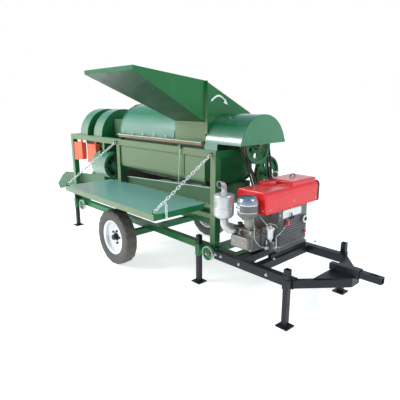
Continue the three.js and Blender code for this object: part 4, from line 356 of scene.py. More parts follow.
def prism(outline, axis, low, high):
    """Sweeps an outline along an axis: (y, z) for X, (x, z) for Y and (x, y) for Z, in machine metres."""
    def point(a, b, along):
        return {"X": spot(along, a, b), "Y": spot(a, along, b), "Z": spot(a, b, along)}[axis]

    def build(shape):
        first = [shape.verts.new(point(a, b, low)) for a, b in outline]
        last = [shape.verts.new(point(a, b, high)) for a, b in outline]
        shape.faces.new(first)
        shape.faces.new(last[::-1])
        skin(shape, [first, last])
    return build


def arc(a, b, radius, start, end, steps):
    return [(a + radius * cos(radians(start + (end - start) * k / steps)),
        b + radius * sin(radians(start + (end - start) * k / steps))) for k in range(steps + 1)]


def rounded(*corners):
    """Four corners as (a, b, radius), from the low left one round."""
    return [p for k, (a, b, radius) in enumerate(corners) for p in arc(a, b, radius, 180 + 90 * k, 270 + 90 * k, 6)]


def curve_points(points, steps):
    """A smooth line through machine points, or the points themselves with no steps."""
    line = [spot(*p) for p in points]
    fine = []
    for i in range(len(line) - 1 if steps else 0):
        p0, p1, p2, p3 = line[max(i - 1, 0)], line[i], line[i + 1], line[min(i + 2, len(line) - 1)]
        for k in range(steps):
            t = k / steps
            fine.append(0.5 * ((2 * p1) + (p2 - p0) * t + (2 * p0 - 5 * p1 + 4 * p2 - p3) * t * t
                + (3 * p1 - p0 - 3 * p2 + p3) * t ** 3))
    return fine + [line[-1]] if steps else line


def carried(line):
    """Each point of a line with two directions square to it, carried along without twist."""
    frames, side = [], None
    for i, p in enumerate(line):
        ahead = (line[min(i + 1, len(line) - 1)] - line[max(i - 1, 0)]).normalized()
        side = ahead.orthogonal().normalized() if side is None else side
        side = (side - ahead * side.dot(ahead)).normalized()
        frames.append((p, side, ahead.cross(side)))
    return frames


def tube(points, radius, sides=12, smooth_steps=0):
    """A round bar through machine points."""
    def build(shape):
        capped(shape, [[shape.verts.new(p + v) for v in around(side, other, radius, sides)]
            for p, side, other in carried(curve_points(points, smooth_steps))])
    return build


def boxes(spans):
    """Boxes given as low and high corners in machine metres."""
    def build(shape):
        for low, high in spans:
            corners = [shape.verts.new(spot(x, y, z)) for x in (low[0], high[0]) for y in (low[1], high[1])
                for z in (low[2], high[2])]
            for face in ((0, 1, 3, 2), (4, 6, 7, 5), (0, 4, 5, 1), (2, 3, 7, 6), (0, 2, 6, 4), (1, 5, 7, 3)):
                shape.faces.new([corners[i] for i in face])
    return build


def carved(obj, cutters, operation="DIFFERENCE"):
    """Cuts shapes out of a piece, or joins them to it, and keeps the result as its mesh."""
    tools = []
    for builder in cutters:
        tool = piece("cutter", builder, obj.data.materials[0], None)
        change = obj.modifiers.new("cut", "BOOLEAN")
        change.operation = operation
        change.solver = "EXACT"
        change.object = tool
        tools.append(tool)
    bpy.context.view_layer.update()
    made = bpy.data.meshes.new_from_object(obj.evaluated_get(bpy.context.evaluated_depsgraph_get()))
    obj.modifiers.clear()
    obj.data = made
    smoothed(made)
    for tool in tools:
        bpy.data.objects.remove(tool)
    return obj


def rod(axis, a, b, radius, low, high, steps=32):
    return prism(arc(a, b, radius, 0, 360 - 360 / steps, steps - 1), axis, low, high)


def hex_bolts(name, places, size, body="frame", material=STEEL):
    """Hexagon heads on washers; each place is a point and the way that the head faces."""
    def build(shape):
        for point, facing in places:
            ahead = Vector(facing).normalized()
            side = ahead.orthogonal().normalized()
            other = ahead.cross(side)
            for radius, start, end, count in ((size * 1.15, -0.1, 0.25, 16), (size, 0.25, 1.0, 6),
                    (size * 0.5, 1.0, 1.5, 10)):
                capped(shape, [[shape.verts.new(point + ahead * size * t + v)
                    for v in around(side, other, radius, count)] for t in (start, end)])
    return piece(name, build, material, body)


def together(*builders):
    def build(shape):
        for builder in builders:
            builder(shape)
    return build


def arch(y, z, radius, wall, start, end, low, high, steps=80):
    """A curved sheet about a line along X."""
    return prism(arc(y, z, radius, start, end, steps) + arc(y, z, radius - wall, end, start, steps), "X", low, high)


def ringed(axis, a, b, outer, inner, low, high, steps=40):
    """A washer or short pipe; the axis passes through (a, b) of the other two directions."""
    middle = {"X": spot(0, a, b), "Y": spot(a, 0, b), "Z": spot(a, b, 0)}[axis]
    return lathe([(low, inner), (low, outer), (high, outer), (high, inner)], axis, middle, steps)


def pipe(points, radii, steps=6, sides=28, bore=0.0):
    """A bent pipe of changing radius, with an open mouth of the given wall at its last point."""
    line = curve_points(points, steps)

    def radius_at(i):
        t = i / (len(line) - 1) * (len(radii) - 1)
        k = min(int(t), len(radii) - 2)
        return radii[k] + (radii[k + 1] - radii[k]) * (t - k)

    def build(shape):
        frames = [(*frame_at, radius_at(i)) for i, frame_at in enumerate(carried(line))]
        if bore:
            frames += [(p, side, other, r - bore) for p, side, other, r in frames[len(frames) // 2:]][::-1]
        capped(shape, [[shape.verts.new(p + v) for v in around(side, other, r, sides)]
            for p, side, other, r in frames])
    return build


def loop_path(first, second, steps=40):
    """The tight loop round two circles (a, b, radius), as (centre a, centre b, radius, angle)."""
    (a0, b0, r0), (a1, b1, r1) = first, second
    heading = atan2(b1 - b0, a1 - a0)
    spread = acos((r0 - r1) / hypot(a1 - a0, b1 - b0))
    path = [(a0, b0, r0, heading + spread + (2 * pi - 2 * spread) * k / steps) for k in range(steps + 1)]
    path += [(a1, b1, r1, heading - spread + 2 * spread * k / steps) for k in range(steps + 1)]
    return path


def v_belt(first, second, x, half=0.0085, height=0.011, proud=0.0015):
    section = [(x - half, proud), (x + half, proud), (x + half * 0.68, proud - height),
        (x - half * 0.68, proud - height)]

    def build(shape):
        rings = [[shape.verts.new(spot(along, a + (r + off) * cos(t), b + (r + off) * sin(t)))
            for along, off in section] for a, b, r, t in loop_path(first, second)]
        skin(shape, rings, closed=True)
    return build


def chain_link(middle, along, across, inner_length, wire, half_width, sides=8, bend=6):
    normal = along.cross(across)
    reach = (inner_length + 2 * wire) / 2 - half_width
    centre_line = [(reach + half_width * cos(t), half_width * sin(t), cos(t), sin(t))
        for t in (pi * (k / bend - 0.5) for k in range(bend + 1))]
    centre_line += [(-a, -b, -c, -d) for a, b, c, d in centre_line]

    def build(shape):
        rings = []
        for a, b, ca, cb in centre_line:
            p = middle + along * a + across * b
            out = along * ca + across * cb
            rings.append([shape.verts.new(p + v) for v in around(out, normal, wire, sides)])
        skin(shape, rings, closed=True)
    return build


# Camera, light and floor
camera_data = bpy.data.cameras.new("camera")
camera = placed("camera", camera_data)
camera_data.sensor_width = camera_data.sensor_height = SENSOR_MM
camera_data.lens = FOCAL_PIXELS / PHOTO_PIXELS * SENSOR_MM
azimuth, elevation = radians(CAMERA_AZIMUTH), radians(CAMERA_ELEVATION)
back = Vector((sin(azimuth) * cos(elevation), -cos(azimuth) * cos(elevation), sin(elevation)))
camera.location = spot(*CAMERA_AT)
camera.rotation_euler = (-back).to_track_quat("-Z", "Y").to_euler()
bpy.context.scene.camera = camera

world = bpy.data.worlds.new("studio")
bpy.context.scene.world = world
world.use_nodes = True
sky = world.node_tree
rise = split_axes(sky, sky.nodes.new("ShaderNodeTexCoord").outputs["Generated"])["Z"]
shade = sky.nodes.new("ShaderNodeValToRGB")
SKY_STOPS = ((0, (1, 1, 1)), (0.24, (1, 1, 1)), (0.42, (0.5, 0.68, 0.8)), (0.75, (0.24, 0.34, 0.42)))
for index, (height, tone) in enumerate(SKY_STOPS):
    stop = shade.color_ramp.elements[index] if index < 2 else shade.color_ramp.elements.new(height)
    stop.position = height
    stop.color = (*tone, 1)
link(sky, rise, shade.inputs["Fac"])
link(sky, shade.outputs["Color"], sky.nodes["Background"].inputs["Color"])
put(sky.nodes["Background"], {"Strength": 1.0})
bpy.context.scene.view_settings.view_transform = "Standard"


def area_light(name, place, target, size, power, tone=(1, 1, 1)):
    data = bpy.data.lights.new(name, "AREA")
    data.size = size
    data.energy = power
    data.color = tone
    obj = placed(name, data)
    obj.location = spot(*place)
    obj.rotation_euler = (spot(*target) - obj.location).to_track_quat("-Z", "Y").to_euler()


area_light("key", (-1.4, -4.6, 4.4), (1.6, 0, 0.9), 2.6, 380, (0.93, 0.98, 1.0))
area_light("side", (6.4, 1.0, 4.6), (2.6, 0, 0.8), 1.4, 90, (0.95, 1.0, 0.97))

floor_material = bpy.data.materials.new("pale_floor")
floor_material.use_nodes = True
put(floor_material.node_tree.nodes["Principled BSDF"],
    {"Base Color": (0.93, 0.93, 0.925, 1), "Roughness": 0.95, "Emission Color": (1, 0.985, 0.955, 1),
    "Emission Strength": 0.62})
FLOOR_HALF = 60
floor = piece("floor", lambda shape: shape.faces.new([shape.verts.new((x * FLOOR_HALF, y * FLOOR_HALF, -0.001))
    for x, y in ((-1, -1), (1, -1), (1, 1), (-1, 1))]), floor_material, None)

# Tyres with lugs, and pressed rims
TYRE_STEPS = 108
LUG_DEPTH = 0.006
for side_name, side in (("near", -1), ("far", 1)):
    body = "wheel_" + side_name
    middle = centre("road_tyre_" + side_name)
    tyre_low, tyre_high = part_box("road_tyre_" + side_name)
    outer = (tyre_high.z - tyre_low.z) / 2
    half = (tyre_high.y - tyre_low.y) / 2
    rim_low, rim_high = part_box("road_rim_" + side_name)
    rim_outer = (rim_high.z - rim_low.z) / 2
    height = outer - rim_outer
    side_profile = [(0.76, -0.05), (0.8, 0.06), (0.93, 0.2), (0.93, 0.215), (0.97, 0.36), (0.995, 0.5), (0.985, 0.66),
        (0.955, 0.76), (0.965, 0.775), (0.9, 0.88), (0.83, 0.955), (0.72, 0.975), (0.46, 0.99), (0.16, 0.998)]
    outline = [(-a * half, rim_outer + b * height) for a, b in side_profile]
    outline += [(a * half, rim_outer + b * height) for a, b in reversed(side_profile)]
    outline += [(half * 0.5, rim_outer - 0.05 * height), (-half * 0.5, rim_outer - 0.05 * height)]

    def tyre_mesh(shape):
        rings = []
        for k in range(TYRE_STEPS):
            ring = []
            for along, radius in outline:
                lug = (k + round(3 * abs(along) / half)) % 6 < 2
                groove = LUG_DEPTH if lug and radius > outer - 0.022 and abs(along) > 0.1 * half else 0
                angle = 2 * pi * k / TYRE_STEPS
                ring.append(shape.verts.new(middle
                    + Vector(((radius - groove) * cos(angle), along, (radius - groove) * sin(angle)))))
            rings.append(ring)
        skin(shape, rings, closed=True)

    tyre = piece("tyre_" + side_name, tyre_mesh, RUBBER, body, smooth=radians(24))
    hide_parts("road_tyre_" + side_name)

    rim_half = (rim_high.y - rim_low.y) / 2
    seat_radius = rim_outer - 0.015
    face = 0.028
    dish = [(0.008, 0.04), (0.008, 0.076), (0.005, 0.086), (-0.004, 0.1), (-0.006, 0.108), (-0.002, 0.116),
        (0.008, 0.128), (0.012, 0.136), (0.012, seat_radius)]
    barrel = [(-rim_half, rim_outer), (-rim_half + 0.004, rim_outer), (-rim_half + 0.007, seat_radius),
        (-rim_half * 0.4, seat_radius - 0.008), (rim_half * 0.4, seat_radius - 0.008),
        (rim_half - 0.007, seat_radius), (rim_half - 0.004, rim_outer), (rim_half, rim_outer),
        (rim_half, rim_outer - 0.004), (rim_half - 0.009, seat_radius - 0.005), (rim_half * 0.4, seat_radius - 0.013),
        (-rim_half * 0.4, seat_radius - 0.013),
        (-rim_half + 0.009, seat_radius - 0.005), (-rim_half, rim_outer - 0.004)]
    rim = piece("rim_" + side_name, lathe(barrel, "Y", middle, 72), SILVER, body)
    plate = [(side * a, r) for a, r in dish] + [(side * (a - 0.004), r) for a, r in reversed(dish)]
    disc = piece("rim_disc_" + side_name, lathe(plate, "Y", middle, 72), SILVER, body)
    hub = piece("hub_" + side_name, lathe([(side * -0.04, 0), (side * -0.04, 0.042), (side * 0.012, 0.042),
        (side * 0.012, 0.03), (side * 0.044, 0.028), (side * 0.05, 0.022), (side * 0.05, 0)], "Y", middle, 40), BLACK,
        body)
    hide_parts("road_rim_" + side_name)
    hex_bolts("wheel_bolts_" + side_name, [(middle + Vector((0.06 * cos(t), side * 0.008, 0.064 * sin(t))),
        (0, side, 0)) for t in turns(5)], 0.011, body, BLACK)

# Rolled sheet of the drum cover, the belt guard and the fans
SHEET = 0.003
COVER_Z, COVER_R = 1.25, 0.3
COVER_X0, COVER_X1, COVER_FLANGE_END = 1.158, 2.054, 2.02
HINGE_Y, HINGE_Z, HINGE_LENGTH = 0.348, 1.262, 0.046
hinge_parts = []
for share in (0.12, 0.88):
    hinge_x = COVER_X0 + share * (COVER_FLANGE_END - COVER_X0)
    x0, x1 = hinge_x - HINGE_LENGTH / 2 + 0.001, hinge_x + HINGE_LENGTH / 2 - 0.001
    hinge_parts += [boxes([((x0, 0.299, 1.2511), (x1, 0.339, 1.2556))]),
        ringed("X", HINGE_Y, HINGE_Z, 0.011, 0.0056, x0, x1, 24)]
cover = piece("cover_sheet", together(arch(0, COVER_Z, COVER_R, SHEET, 0.12, 179.88, COVER_X0, COVER_X1),
    boxes([((COVER_X0, -0.336, 1.2506), (COVER_FLANGE_END, -0.298, 1.2536)),
    ((COVER_X0, 0.298, 1.2506), (COVER_X1, 0.327, 1.2536))]), *hinge_parts), GLOSS, "cover", bevel=0.0006)
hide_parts("drum_cover")
piece("cover_end_bands", together(*[arch(0, COVER_Z, COVER_R + 0.0018, 0.0016, 1, 179, x, x + 0.02)
    for x in (COVER_X0, COVER_X1 - 0.02)]), GLOSS, "cover")
cover_bolts = [(spot(COVER_X0 + 0.07 + 0.18 * k, -0.319, 1.2536), (0, 0, 1)) for k in range(5)]
hex_bolts("cover_flange_bolts", cover_bolts, 0.0068, "cover")
piece("cover_wing_nuts", boxes([((COVER_X0 + 0.063 + 0.18 * k, -0.3205, 1.262),
    (COVER_X0 + 0.077 + 0.18 * k, -0.3175, 1.278)) for k in range(5)]), STEEL, "cover", bevel=0.0012)
piece("casing_seal_strip", boxes([((1.17, -0.333, 1.216), (2.44, -0.262, 1.2465))]), FELT, bevel=0.002)
# The flange's lip in pale green: painted highlight
piece("casing_flange_lip", boxes([((1.155, -0.341, 1.2385), (2.445, -0.334, 1.2465))]), EDGE_HIGHLIGHT_GREEN, bevel=0.0015)
hex_bolts("casing_flange_studs", [(spot(1.24 + 0.235 * k, -0.3375, 1.2465), (0, 0, 1)) for k in range(6)], 0.005,
    material=GREEN)
# Long edge of the moving sieve in pale green, a painted highlight, the apron behind it, and the rod and rib on the
# casing's near face, the rod in the same painted-highlight green
piece("sieve_edges", together(*[tube([(1.166, side * 0.2455, 0.7785), (2.499, side * 0.2455, 0.8525)], 0.0055)
    for side in (-1, 1)]), EDGE_HIGHLIGHT_GREEN, "sieve")
SIEVE_X0, SIEVE_X1, SIEVE_HALF = 1.17, 2.494, 0.238
DECK_LOW, DECK_HIGH = 0.6905, 0.7635
screen_wires = []
for k in range(48):
    x = SIEVE_X0 + (SIEVE_X1 - SIEVE_X0) * (k + 0.5) / 48
    z = DECK_LOW + (DECK_HIGH - DECK_LOW) * (k + 0.5) / 48
    screen_wires.append(tube([(x, -SIEVE_HALF, z), (x, SIEVE_HALF, z)], 0.0018, 6))
for k in range(18):
    y = SIEVE_HALF * (2 * (k + 0.5) / 18 - 1)
    screen_wires.append(tube([(SIEVE_X0, y, DECK_LOW + 0.003), (SIEVE_X1, y, DECK_HIGH + 0.003)], 0.0018, 6))
piece("sieve_screen", together(*screen_wires), STEEL, "sieve")
piece("casing_apron_far", prism([(1.175, 0.742), (2.44, 0.812), (2.44, 0.8572), (1.175, 0.8572)], "Y", 0.2132,
    0.2152), GREEN)
piece("outlet_curtain", boxes([((1.1555, -0.262, 0.66), (1.1585, 0.262, 0.8565))]), RUBBER)
piece("casing_rod", tube([(2.17, -0.3335, 1.181), (2.138, -0.3265, 0.9), (2.134, -0.3165, 0.83)], 0.0045, 10),
    EDGE_HIGHLIGHT_GREEN)
piece("casing_rod_eye", rod("Y", 2.168, 1.19, 0.017, -0.341, -0.3215, 24), GREEN, bevel=0.002)
piece("casing_rib", boxes([((2.188, -0.3115, 0.935), (2.197, -0.3055, 1.12))]), GREEN, bevel=0.0015)

GUARD_Y, GUARD_Z, GUARD_R = -0.03, 1.19, 0.285
GUARD_X0, GUARD_TAB, GUARD_X1, GUARD_SKIRT = 2.464, 2.61, 2.86, 1.24
guard_dip = degrees(asin(0.0047 / GUARD_R))
guard_skirt = degrees(asin((GUARD_SKIRT - GUARD_Z) / GUARD_R))
guard_face = arc(GUARD_Y, GUARD_Z, GUARD_R - 0.0005, guard_skirt, 180 - guard_skirt, 80)
guard = piece("guard_sheet", together(arch(GUARD_Y, GUARD_Z, GUARD_R, SHEET, -guard_dip, 180 + guard_dip, GUARD_X0,
    GUARD_TAB), arch(GUARD_Y, GUARD_Z, GUARD_R, SHEET, guard_skirt, 180 - guard_skirt, GUARD_TAB, GUARD_X1 - SHEET),
    prism(guard_face, "X", GUARD_X1 - SHEET, GUARD_X1)), GLOSS, bevel=0.0012)
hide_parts("belt_guard")
fold_top = GUARD_SKIRT + 0.024
piece("guard_lower_fold", boxes([((GUARD_X1, GUARD_Y - GUARD_R * 0.978, GUARD_SKIRT + 0.001),
    (GUARD_X1 + 0.0025, GUARD_Y + GUARD_R * 0.978, fold_top))]), GLOSS, bevel=0.001)

SUCTION_Z, SUCTION_R, SUCTION_LOW_R, SUCTION_BASE = 1.19, 0.3, 0.256, 1.1853
for name, x0, x1 in (("left", 0.246, 0.421), ("right", 0.572, 0.757)):
    def housing_line(inset):
        return (arc(0, SUCTION_Z, SUCTION_R - inset, 0, 180, 60)
            + [(-SUCTION_R + inset, SUCTION_BASE + inset), (-SUCTION_LOW_R + inset, SUCTION_BASE + inset)]
            + arc(0, SUCTION_Z, SUCTION_LOW_R - inset, -178.85, -1.15, 60)
            + [(SUCTION_LOW_R - inset, SUCTION_BASE + inset), (SUCTION_R - inset, SUCTION_BASE + inset)])
    housing = piece("suction_sheet_" + name, prism(housing_line(0), "X", x0, x1), GREEN)
    carved(housing, [prism(housing_line(SHEET), "X", x0 + SHEET, x1 - SHEET),
        rod("X", 0, 1.215, 0.105, x0 - 0.01, x1 + 0.01, 40),
        boxes([((x0 + 0.006, -0.11, 0.93), (x1 - 0.006, 0.11, 0.9724))])])
    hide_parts("suction_housing_" + name)
    # The band over the housing's curve, in the lighter green of the painted sheen, with its rolled edges
    band = arch(0, SUCTION_Z, SUCTION_R + 0.0012, 0.0012, 0.5, 179.5, x0, x1)
    edges = [arch(0, SUCTION_Z, SUCTION_R + 0.0025, 0.0025, 0.5, 179.5, e, e + 0.008) for e in (x0, x1 - 0.008)]
    piece("suction_band_" + name, together(band, *edges), PAINTED_SHEEN)
    hex_bolts("suction_bolts_" + name, [(spot(x, -0.2985, 1.1995), (0, -1, 0)) for x in (x0 + 0.03, x1 - 0.03)],
        0.006)

WINNOW_Y, WINNOW_Z, WINNOW_R = -0.262, 0.87803, 0.148
WINNOW_X0, WINNOW_X1, WINNOW_MOUTH = 0.67, 0.968, 0.118
# The scroll in the lighter green of the painted sheen
scroll = piece("winnower_sheet", rod("X", WINNOW_Y, WINNOW_Z, WINNOW_R, WINNOW_X0, WINNOW_X1, 72), PAINTED_SHEEN)
outlet_reach = WINNOW_R * 0.999
carved(scroll, [boxes([((WINNOW_X0, WINNOW_Y, WINNOW_Z - WINNOW_R), (WINNOW_X1, WINNOW_Y + outlet_reach, 0.84))])],
    "UNION")
carved(scroll, [rod("X", WINNOW_Y, WINNOW_Z, WINNOW_R - SHEET, WINNOW_X0 + SHEET, WINNOW_X1 - SHEET, 72),
    boxes([((WINNOW_X0 + SHEET, WINNOW_Y, WINNOW_Z - WINNOW_R + SHEET),
    (WINNOW_X1 - SHEET, WINNOW_Y + outlet_reach + 0.01, 0.837))]),
    rod("X", WINNOW_Y, WINNOW_Z, WINNOW_MOUTH, WINNOW_X0 - 0.01, WINNOW_X1 + 0.01, 60)])
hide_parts("winnowing_fan_housing")
arm = WINNOW_R * 0.9
piece("winnower_spiders", together(*[together(ringed("X", WINNOW_Y, WINNOW_Z, 0.0276, 0.0105, x, x + SHEET, 24),
    boxes([((x, WINNOW_Y + lo[0], WINNOW_Z + lo[1]), (x + SHEET, WINNOW_Y + hi[0], WINNOW_Z + hi[1]))
    for lo, hi in (((-arm, -0.01), (-0.02, 0.01)), ((0.02, -0.01), (arm, 0.01)), ((-0.01, -arm), (0.01, -0.02)),
    ((-0.01, 0.02), (0.01, arm)))])) for x in (WINNOW_X0, WINNOW_X1 - SHEET)]), GREEN)
piece("winnower_mouth_ring", together(ringed("X", WINNOW_Y, WINNOW_Z, WINNOW_MOUTH + 0.007, WINNOW_MOUTH - 0.001,
    WINNOW_X1, WINNOW_X1 + 0.004, 60), ringed("X", WINNOW_Y, WINNOW_Z, WINNOW_R + 0.002, WINNOW_R - 0.004,
    WINNOW_X1 - 0.003, WINNOW_X1 + 0.002, 72)), GREEN)
piece("winnower_hub", lathe([(0.972, 0), (0.972, 0.062), (0.982, 0.062), (0.983, 0.056), (0.979, 0.05),
    (0.979, 0.034), (0.988, 0.03), (0.9885, 0.016), (0.986, 0.013), (0.986, 0)], "X", spot(0, WINNOW_Y, WINNOW_Z),
    48), PAINTED_SHEEN, "winnower")
piece("winnower_hanger_tab", boxes([((0.791, -0.376, 1.005), (0.829, -0.343, 1.034))]), GREEN)
hex_bolts("winnower_bolts", [(spot(WINNOW_X1, WINNOW_Y + 0.133 * cos(t), WINNOW_Z + 0.133 * sin(t)), (1, 0, 0))
    for t in (0.6, 1.9, 3.3, 4.4, 5.6)], 0.0055)

# Pulleys and belts
def grooved(radius, width, grooves, depth, groove_depth=0.0115, top=0.0085, foot=0.0058):
    """Rim section with V grooves, its inner face tapering to a web of ten millimetres."""
    pitch = width / grooves
    line = [(-width / 2, radius - depth), (-width / 2, radius)]
    for i in range(grooves):
        m = (i - (grooves - 1) / 2) * pitch
        line += [(m - top, radius), (m - foot, radius - groove_depth), (m + foot, radius - groove_depth),
            (m + top, radius)]
    return line + [(width / 2, radius), (width / 2, radius - depth), (0.004, radius - depth - 0.005),
        (-0.004, radius - depth - 0.005)]


def wheel_web(name, y, z, x, reach, hub, half, holes, hole_radius, body, turn=0.0):
    web = piece(name, rod("X", y, z, reach, x - half, x + half, 72), GREEN, body)
    ring = (reach + hub) / 2
    carved(web, [rod("X", y + ring * cos(t), z + ring * sin(t), hole_radius, x - 0.02, x + 0.02, 28)
        for t in turns(holes, turn)])
    return web


DRUM_YZ, COUNTER_YZ, CRANK_YZ = (0, 1.215), (0.272, 0.95), (0.2, 0.575)
MAIN_X, COUNTER_X = 2.755, 2.662
drum_rim = piece("drum_pulley_rim", together(lathe(grooved(0.15, 0.056, 2, 0.019), "X", spot(MAIN_X, *DRUM_YZ), 96),
    lathe(grooved(0.075, 0.046, 1, 0.03), "X", spot(COUNTER_X, *DRUM_YZ)),
    lathe([(-0.116, 0.0182), (-0.116, 0.032), (0, 0.034), (0.026, 0.03), (0.028, 0.026), (0.028, 0.0182)], "X",
    spot(MAIN_X, *DRUM_YZ), 48), ringed("X", *DRUM_YZ, 0.046, 0.031, COUNTER_X - 0.006, COUNTER_X + 0.006)), GREEN,
    "drum")
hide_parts("drum_pulley")
wheel_web("drum_pulley_web", *DRUM_YZ, MAIN_X, 0.1275, 0.034, 0.006, 6, 0.0235, "drum", 0.35)
piece("drum_pulley_ribs", together(*[tube([(MAIN_X + 0.007, DRUM_YZ[0] + r * cos(t), DRUM_YZ[1] + r * sin(t))
    for r in (0.03, 0.08, 0.128)], 0.0055, 10) for t in turns(6, pi / 6 + 0.35)]), GREEN, "drum")
counter_rim = piece("counter_pulley_rim", together(lathe(grooved(0.15, 0.046, 1, 0.019), "X",
    spot(COUNTER_X, *COUNTER_YZ), 96), ringed("X", *COUNTER_YZ, 0.034, 0.0128, COUNTER_X - 0.023, COUNTER_X + 0.023)),
    GREEN, "countershaft")
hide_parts("countershaft_pulley")
wheel_web("counter_pulley_web", *COUNTER_YZ, COUNTER_X, 0.1275, 0.034, 0.006, 6, 0.0235, "countershaft")
crank_rim = piece("flywheel_rim", together(lathe(grooved(0.075, 0.056, 2, 0.02), "X", spot(MAIN_X, *CRANK_YZ)),
    lathe([(0.034, 0.133), (0.034, 0.161), (0.036, 0.163), (0.078, 0.163), (0.08, 0.161), (0.08, 0.133)], "X",
    spot(MAIN_X, *CRANK_YZ), 96), lathe([(-0.029, 0), (-0.029, 0.02), (-0.026, 0.038), (0.08, 0.038), (0.08, 0.02),
    (0.123, 0.02), (0.123, 0)], "X", spot(MAIN_X, *CRANK_YZ), 40),
    ringed("X", *CRANK_YZ, 0.052, 0.037, MAIN_X - 0.006, MAIN_X + 0.006)), CASTING, "crank")
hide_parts("flywheel")
web = wheel_web("flywheel_web", *CRANK_YZ, 2.812, 0.134, 0.037, 0.007, 4, 0.022, "crank")
web.data.materials[0] = CASTING
drum_belts = piece("engine_belts", together(v_belt((*DRUM_YZ, 0.15), (*CRANK_YZ, 0.075), MAIN_X - 0.014),
    v_belt((*DRUM_YZ, 0.15), (*CRANK_YZ, 0.075), MAIN_X + 0.014)), BELT)
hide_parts("engine_belt")
counter_belt = piece("counter_v_belt", v_belt((*DRUM_YZ, 0.075), (*COUNTER_YZ, 0.15), COUNTER_X), BELT)
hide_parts("counter_belt")

# Guide wheels, worn bright at the tread
for name, x in (("rear", 0.26), ("front", 2.555)):
    body = "guide_" + name
    y, z = -0.354, 0.305
    hub_at = spot(x, y, z)
    wheel = piece("guide_rim_" + name, together(lathe([(-0.014, 0.057), (-0.014, 0.0635), (-0.0125, 0.065),
        (0.0125, 0.065), (0.014, 0.0635), (0.014, 0.057)], "Y", hub_at, 72),
        ringed("Y", x, z, 0.016, 0.0098, y - 0.014, y + 0.014, 32)), WORN, body)
    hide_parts("guide_wheel_" + name)
    disc = piece("guide_disc_" + name, rod("Y", x, z, 0.058, y - 0.004, y + 0.004, 64), GREEN, body)
    carved(disc, [rod("Y", x + 0.036 * cos(t), z + 0.036 * sin(t), 0.0085, y - 0.02, y + 0.02, 20)
        for t in turns(4, 0.5)])
    hex_bolts("guide_bolt_" + name, [(spot(x, y - 0.0205, z), (0, -1, 0))], 0.0085)

# Chains of round wire, and a spare end with its hook
LINKS = 23
WIRE = 0.0036
for name, top, foot in (("left", (1.104, -0.336, 1.152), (1.004, -0.864, 0.752)),
        ("right", (2.56, -0.336, 1.152), (2.484, -0.864, 0.752))):
    top, foot = spot(*top), spot(*foot)
    along = (foot - top).normalized()
    across = (Vector((1, 0, 0)) - along * along.x).normalized()
    pitch = (foot - top).length / LINKS
    links = []
    for k in range(LINKS):
        twist = -0.9 * min(1, k / 6, (LINKS - 1 - k) / 6)
        wide = across * cos(twist) + along.cross(across) * sin(twist)
        links.append(chain_link(top + along * pitch * (k + 0.5), along, wide if k % 2 else along.cross(wide), pitch,
            WIRE, 0.0092))
    chain = piece("chain_" + name + "_wire", together(*links), BRIGHT, None)
    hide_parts("chain_" + name)
    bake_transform(chain)
tail_top = spot(2.515, -0.768, 0.798)
tail_links = [chain_link(tail_top + Vector((0, 0, -0.012 - 0.024 * k)), Vector((0, 0, -1)),
    Vector((1, 0, 0)) if k % 2 else Vector((0, 1, 0)), 0.024, WIRE, 0.0082) for k in range(5)]
hook = [(2.499, -0.77, 0.828), (2.508, -0.7685, 0.826), (2.5145, -0.768, 0.812), (2.515, -0.768, 0.793)]
tail = piece("chain_tail", together(tube(hook, 0.003, 10, 4), *tail_links), BRIGHT, "table")
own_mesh(tail)

# Diesel engine: hood with its cap, seam, trim, lifting ring and loop
HOOD = (2.812, 3.102, -0.292, 0.44, 0.745, 0.915)


def hood_line(proud):
    """The hood's outline from the side, its upper corners rounded, standing proud of the shell by a little."""
    return ([(HOOD[0] - proud, HOOD[4]), (HOOD[1] + proud, HOOD[4])]
        + arc(HOOD[1] - 0.034, HOOD[5] - 0.034, 0.034 + proud, 0, 90, 10)
        + arc(HOOD[0] + 0.034, HOOD[5] - 0.034, 0.034 + proud, 90, 180, 10))


hood = piece("hood_shell", prism(hood_line(0), "Y", HOOD[2], HOOD[3]), RED, bevel=0.012)
hood.modifiers["edges"].segments = 4
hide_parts("engine_hood")
piece("hood_raised_cap", boxes([((2.8324, 0.07, 0.9), (3.0816, 0.4196, 0.949))]), RED, bevel=0.014)
piece("hood_filler_cap", lathe([(0, 0), (0, 0.074), (0.008, 0.0755), (0.016, 0.074), (0.021, 0.066), (0.024, 0.045),
    (0.025, 0)], "Z", spot(2.89, -0.008, 0.915)), RED)
piece("hood_seam", boxes([((2.8105, -0.2935, 0.8595), (3.1035, 0.4415, 0.8645))]), RED, bevel=0.0012)
piece("hood_lower_rim", boxes([((2.8095, -0.2945, 0.745), (3.1045, -0.2885, 0.757)),
    ((3.0985, -0.2945, 0.745), (3.1045, 0.4425, 0.757)), ((2.8095, -0.2945, 0.745), (2.8155, 0.4425, 0.757)),
    ((2.8095, 0.4365, 0.745), (3.1045, 0.4425, 0.757))]), RED, bevel=0.001)
carved(piece("hood_edge_trim", prism(hood_line(0.003), "Y", 0.424, 0.443), BLACK),
    [boxes([((2.826, 0.41, 0.72), (3.088, 0.46, 0.9))])])
piece("hood_lifting_ring", together(tube([(2.886 + 0.0175 * cos(t), 0.1 + 0.0188 * cos(t), 0.979 + 0.0257 * sin(t))
    for t in turns(40) + [2 * pi]], 0.0046), rod("Z", 2.886, 0.1, 0.009, 0.949, 0.957, 20)), SILVER)
piece("hood_loop", tube([(2.93, 0.255 + y, z) for y, z in ((0, 0.948), (0.002, 0.96), (0.02, 0.968), (0.05, 0.968),
    (0.068, 0.96), (0.07, 0.948))], 0.0038, 10, 6), BLACK)
hex_bolts("hood_side_bolts", [(spot(3.102, y, z), (1, 0, 0)) for y, z in ((-0.24, 0.775), (0.39, 0.775), (0.07, 0.8))]
    + [(spot(x, -0.292, 0.775), (0, -1, 0)) for x in (2.84, 3.075)], 0.0055)

